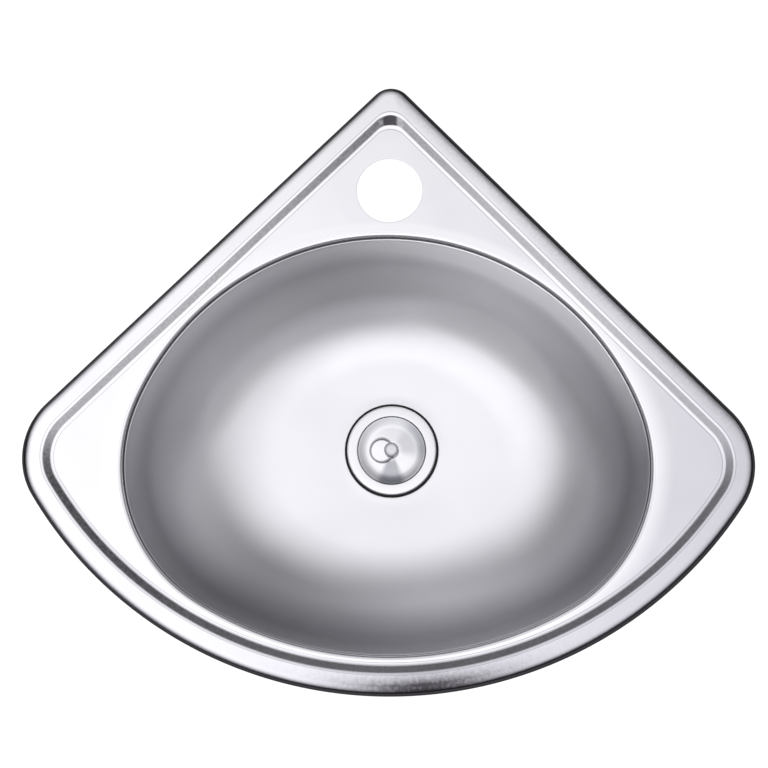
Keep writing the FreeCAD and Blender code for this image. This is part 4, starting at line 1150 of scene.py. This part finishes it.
# %% Pull ring
RING_RADIUS, WIRE_RADIUS, RING_STEPS, WIRE_STEPS = 8.2, 0.65, 112, 20
RING_ARM, PIVOT, RING_TILT = 7.2, -116.4, math.radians(15.347)
ring_mesh = bmesh.new()
wire = arc_points((RING_RADIUS, 0.0), WIRE_RADIUS, 0, 360, WIRE_STEPS)
turn_profile(ring_mesh, wire, RING_STEPS)
arm = Matrix.Translation((-RING_ARM * MM, 0.0, 0.0))
hang = Matrix.Translation((0.0, 0.0, PIVOT * MM)) @ Matrix.Rotation(-RING_TILT, 4, "Y") @ arm
bmesh.ops.transform(ring_mesh, matrix=hang, verts=ring_mesh.verts)
pull_ring = piece_from(ring_mesh, "pull_ring_wire")
place(pull_ring, "ring", "polished_steel", mirror_steel, "pull_ring")

# %% [markdown]
# ## Clips, four times the same
# Four rails are welded under the deck. In each hangs a flat-headed bolt with a jaw and a nut that pull the
# sink down onto the worktop. What repeats is made once and set out by Geometry Nodes: a point for each
# clip, with its turn as an attribute, gets an instance of the shape, and Realize Instances makes them real.
# Each row of the list is a clip's place and its turn in degrees.

# %% Tree that sets out the clips
clip_tree, given, result = new_tree("set out clips", Shape="Object", Places="Object", Finish="Material")
shape = node(clip_tree, "GeometryNodeObjectInfo", Object=given["Shape"])["Geometry"]
places = node(clip_tree, "GeometryNodeObjectInfo", Object=given["Places"])["Geometry"]
turn = node(clip_tree, "GeometryNodeInputNamedAttribute", {"data_type": "FLOAT"}, Name="turn")["Attribute"]
facing = node(clip_tree, "ShaderNodeCombineXYZ", Z=turn)["Vector"]
copies = node(clip_tree, "GeometryNodeInstanceOnPoints", Points=places, Instance=shape, Rotation=facing)
hand_out(clip_tree, copies["Instances"], given["Finish"], result)

DECK_UNDER = 2.0
CLIPS = [
    (43.903, 136.996, 45.0), (-43.903, 136.996, 135.0),
    (184.433, -35.846, -36.01), (-184.433, -35.846, -143.99),
]
place_points = bpy.data.meshes.new("clip_places")
place_points.from_pydata([(x * MM, y * MM, DECK_UNDER * MM) for x, y, turn in CLIPS], [], [])
turn_of = place_points.attributes.new("turn", "FLOAT", "POINT")
for spot, (x, y, turn) in zip(turn_of.data, CLIPS):
    spot.value = math.radians(turn)
clip_places = bpy.data.objects.new("clip_places", place_points)


def set_out(shape_piece, name, slot, finish, node_name):
    """Four copies of a shape at the clips, as one plain piece, and the shape itself removed."""
    data = grow_mesh(clip_tree, name, Shape=shape_piece, Places=clip_places, Finish=finish)
    piece = piece_of_data(data, name)
    bpy.data.objects.remove(shape_piece)
    place(piece, "sink", slot, finish, node_name)


# %% [markdown]
# A rail is a strip of zinc-plated steel folded to a channel with a slot below, 24 millimetres long. Only half
# of its section is written down and the other half is mirrored. The section is then drawn out, and all its
# edges get a small bevel.

# %% Rails
RAIL_LENGTH, RAIL_EDGE = 24.0, 0.2


def bar_piece(name, profile, width, soft_edge):
    """A profile of (x, z) corners drawn out along Y, with its edges softened."""
    mesh = bmesh.new()
    ends = [[mesh.verts.new((x * MM, y * MM, z * MM)) for x, z in profile] for y in (-width / 2, width / 2)]
    join_rings(mesh, *ends)
    for end in ends:
        mesh.faces.new(end)
    bmesh.ops.bevel(mesh, geom=mesh.edges[:], offset=soft_edge * MM, segments=2, profile=0.5, affect="EDGES")
    return piece_from(mesh, name)


rail_right = [(6.5, 0.0), (6.5, -8.0), (3.3, -8.0), (3.3, -6.8), (5.3, -6.8), (5.3, -1.2)]
rail_profile = rail_right + [(-x, z) for x, z in reversed(rail_right)]
rail = bar_piece("rail", rail_profile, RAIL_LENGTH, RAIL_EDGE)
set_out(rail, "clip_rails", "zinc_steel", zinc, "clip_channels")

# %% [markdown]
# The bolt's square head hangs in the rail and can't turn there. The bolt is a bevelled block, a plain turned
# core that closes the lower end, and a thread from the same tree as the waste's, all in one mesh.

# %% Bolts
HEAD_WIDTH, HEAD_HEIGHT, HEAD_MIDDLE, HEAD_EDGE = 10.0, 2.6, -5.5, 0.3
BOLT_AXIS, BOLT_CORE, BOLT_TOP, BOLT_END, BOLT_SIDES = 0.02, 2.4, -6.8, -53.2, 32
BOLT_RADIUS, BOLT_THREAD_DEPTH, BOLT_PITCH, BOLT_THREAD_TOP, BOLT_THREAD_LENGTH = 3.0, 0.58, 1.0, -7.0, 45.6
bolt_mesh = bmesh.new()
head_size = Matrix.Diagonal((HEAD_WIDTH * MM, HEAD_WIDTH * MM, HEAD_HEIGHT * MM, 1))
bmesh.ops.create_cube(bolt_mesh, size=1.0, matrix=Matrix.Translation((0, 0, HEAD_MIDDLE * MM)) @ head_size)
bmesh.ops.bevel(
    bolt_mesh, geom=bolt_mesh.edges[:], offset=HEAD_EDGE * MM, segments=2, profile=0.5, affect="EDGES"
)
bolt_core = [(BOLT_AXIS, BOLT_TOP, 0.0), (BOLT_CORE, BOLT_TOP, 0.0), (BOLT_CORE, BOLT_END, 0.8)]
turn_profile(bolt_mesh, soften(bolt_core + [(BOLT_AXIS, BOLT_END, 0.0)]), BOLT_SIDES)
bolt_thread = thread_data(
    "bolt", BOLT_RADIUS, BOLT_THREAD_DEPTH, BOLT_PITCH, BOLT_THREAD_TOP, BOLT_THREAD_LENGTH, BOLT_SIDES, zinc
)
bolt_mesh.from_mesh(bolt_thread)
set_out(piece_from(bolt_mesh, "bolt", crisp=45.0), "clip_bolts_threaded", "zinc_steel", zinc, "clip_bolts")

# %% [markdown]
# A hexagon nut is cut from a bar and its corners are turned off at both faces. Four rings make the outside:
# hexagons, each cut back to a circle where it is turned. Four round rings make the bore with its two bevels,
# and the eight are joined in a loop.

# %% Nuts
NUT_FLATS, NUT_STEPS = 10.0, 48
NUT_OUTSIDE = [(5.0, -42.2), (9.0, -42.9), (9.0, -46.5), (5.0, -47.2)]
NUT_BORE = [(3.5, -47.2), (3.1, -46.8), (3.1, -42.6), (3.5, -42.2)]


def hexagon_points(flats, around, turned_to):
    """Points of a hexagon, cut back to a circle of that radius, at the same angles as those of a circle."""
    points = []
    for step in range(around):
        turn = 2 * math.pi * step / around
        reach = flats / 2 / math.cos((turn % (math.pi / 3)) - math.pi / 6)
        reach = min(reach, turned_to)
        points.append((reach * math.cos(turn), reach * math.sin(turn)))
    return points


nut_mesh = bmesh.new()
nut_loops = [ring_of_vertices(nut_mesh, hexagon_points(NUT_FLATS, NUT_STEPS, r), z) for r, z in NUT_OUTSIDE]
nut_loops += [ring_of_vertices(nut_mesh, arc_points((0, 0), r, 0, 360, NUT_STEPS), z) for r, z in NUT_BORE]
for first, second in zip(nut_loops, nut_loops[1:] + nut_loops[:1]):
    join_rings(nut_mesh, first, second)
set_out(piece_from(nut_mesh, "nut", crisp=25.0), "clip_nuts_chamfered", "zinc_steel", zinc, "clip_nuts")
bpy.data.objects.remove(clip_places)

# %% [markdown]
# Each jaw turns about its own bolt, so the jaws are four pieces. They keep their CAD shape, a bent strip
# with teeth, and only lose their knife-sharp edges. So does the brass nut under the waste.

# %% Jaws and back nut
for side in ("right_side", "left_side", "right_front", "left_front"):
    jaw = copy_of_solid("clip_jaw_" + side, "jaw_" + side, soft_edge=0.25)
    place(jaw, "clip_jaw_" + side, "zinc_steel", zinc, "clip_jaw_" + side)
back_nut = copy_of_solid("back_nut", "brass_nut", soft_edge=0.4)
place(back_nut, "sink", "plated_brass", brass, "back_nut")

# %% [markdown]
# The strainer, the foam strip and the damping pad have the right shape already and are seen only from
# below, so a merged copy with smooth faces and a good finish is enough.

# %% Strainer, foam and pad
strainer = copy_of_solid("strainer_plate", "strainer", crisp=30.0)
place(strainer, "sink", "bowl_steel", bowl_steel, "strainer_plate")
foam_strip = copy_of_solid("rim_seal", "foam_under_rim", crisp=30.0)
place(foam_strip, "sink", "foam_strip", foam, "rim_seal")
pad = copy_of_solid("sound_pad", "pad_under_floor", crisp=30.0)
place(pad, "sink", "damping_pad", damping_pad, "sound_pad")

# %% [markdown]
# ## Camera
# The photograph looks almost straight down from above the front edge. The camera's place and its three
# small turns were fitted to the rim's outline, the mouth, the tap hole and the drain, so its matrix is
# written as those turns in order.

# %% Camera
SENSOR_WIDTH, LENS = 36.0, 65.16
CAMERA_PLACE, CAMERA_TURNS = (30.86, -102.5, 841.4), (-8.82, -2.174, -0.651)
camera_data = bpy.data.cameras.new("camera")
camera_data.sensor_width, camera_data.lens = SENSOR_WIDTH, LENS
camera = bpy.data.objects.new("camera", camera_data)
bpy.context.scene.collection.objects.link(camera)
pitch, yaw, roll = (math.radians(degrees) for degrees in CAMERA_TURNS)
to_camera = Matrix.Rotation(roll, 4, "Z") @ Matrix.Rotation(yaw, 4, "Y") @ Matrix.Rotation(pitch, 4, "X")
camera.matrix_world = Matrix.Translation([size * MM for size in CAMERA_PLACE]) @ to_camera.inverted()
bpy.context.scene.camera = camera
print("camera at", tuple(round(value, 4) for value in camera.location))

# %% [markdown]
# ## Light and floor
# Polished steel shows the room more than itself. A photographer hangs one wide soft panel over the sink and
# leaves the room around it darker: flat steel then looks white, and every bend gets a grey or black line.
# The panel is a card that glows most a little left of the sink and in front of it, and fades out to all
# sides, because a hard edge would show in the bowl as a line. It is faintly cool.

# %% Light panel
PANEL_HALF, PANEL_HEIGHT = 2.6, 0.85
PANEL_MIDDLE, PANEL_COLOUR = (-0.2, -0.4), (0.99, 0.98, 1.03, 1.0)
PANEL_LEVEL, PANEL_EDGE_LEVEL, PANEL_SPREAD = 1.6, 0.22, 1.03
SQUARE = [(-1, -1), (1, -1), (1, 1), (-1, 1)]


def stage_card(name, half, height, tree_name):
    """A level square card for the studio, with an empty material to wire up."""
    data = bpy.data.meshes.new(name)
    data.from_pydata([(x * half, y * half, height) for x, y in SQUARE], [], [(0, 1, 2, 3)])
    card = bpy.data.objects.new(name, data)
    bpy.context.scene.collection.objects.link(card)
    finish = bpy.data.materials.new(tree_name)
    finish.use_nodes = True
    finish.node_tree.nodes.remove(finish.node_tree.nodes["Principled BSDF"])
    data.materials.append(finish)
    return card, finish.node_tree


panel, tree = stage_card("light_panel", PANEL_HALF, PANEL_HEIGHT, "soft light panel")
panel.visible_camera = False
spot = node(tree, "ShaderNodeTexCoord")["Object"]
away = vector_maths(tree, "LENGTH", vector_maths(tree, "SUBTRACT", spot, (*PANEL_MIDDLE, PANEL_HEIGHT)))
spread = maths(tree, "POWER", maths(tree, "DIVIDE", away, PANEL_SPREAD), 2.0)
bell = maths(tree, "DIVIDE", PANEL_LEVEL - PANEL_EDGE_LEVEL, maths(tree, "ADD", spread, 1.0))
level = maths(tree, "ADD", bell, PANEL_EDGE_LEVEL)
glow = node(tree, "ShaderNodeEmission", Color=PANEL_COLOUR, Strength=level)["Emission"]
tree.links.new(glow, tree.nodes["Material Output"].inputs["Surface"])
print("panel level", PANEL_LEVEL, "at", PANEL_MIDDLE)

# %% [markdown]
# The room is what the steel shows where it doesn't show the panel. It is dim and faintly cool, and a little
# lighter at the front's two sides, where a photographer's white walls would stand. A world is a tree too:
# its strength follows the direction that a ray leaves in.

# %% Room
ROOM_COLOUR, ROOM_LEVEL, ROOM_FRONT_SIDES = (0.97, 0.955, 1.05, 1.0), 0.13, 0.7
world = bpy.data.worlds.new("studio room")
bpy.context.scene.world = world
world.use_nodes = True
tree = world.node_tree
background = tree.nodes["Background"]
background.inputs["Color"].default_value = ROOM_COLOUR
side = node(tree, "ShaderNodeSeparateXYZ", Vector=node(tree, "ShaderNodeTexCoord")["Generated"])
to_front = maths(tree, "MAXIMUM", maths(tree, "MULTIPLY", side["Y"], -1.0), 0.0)
to_both = maths(tree, "MULTIPLY", to_front, maths(tree, "ABSOLUTE", side["X"]))
level = maths(tree, "MULTIPLY_ADD", to_both, ROOM_FRONT_SIDES, ROOM_LEVEL)
tree.links.new(level, background.inputs["Strength"])
print("room level", ROOM_LEVEL)

# %% [markdown]
# The floor is pale paper. A glow that only camera, glossy and transmission rays see lifts it to white, while
# the panel's own light on it still shows the sink's soft shadow.

# %% Floor
FLOOR_HALF, FLOOR_LEVEL, FLOOR_GLOW, PAPER = 3.0, -0.1795, 0.8, (0.4, 0.4, 0.4, 1.0)
studio_floor, tree = stage_card("studio_floor", FLOOR_HALF, FLOOR_LEVEL, "white paper floor")
rays = node(tree, "ShaderNodeLightPath")
seen = maths(tree, "MAXIMUM", rays["Is Camera Ray"], rays["Is Glossy Ray"])
seen = maths(tree, "MAXIMUM", seen, rays["Is Transmission Ray"])
glow = node(tree, "ShaderNodeEmission", Strength=maths(tree, "MULTIPLY", seen, FLOOR_GLOW))["Emission"]
matt = node(tree, "ShaderNodeBsdfDiffuse", Color=PAPER)["BSDF"]
both = tree.nodes.new("ShaderNodeAddShader")
tree.links.new(glow, both.inputs[0])
tree.links.new(matt, both.inputs[1])
tree.links.new(both.outputs["Shader"], tree.nodes["Material Output"].inputs["Surface"])
bpy.context.scene.view_settings.view_transform = "Standard"
print(studio_floor.name, "at", FLOOR_LEVEL)
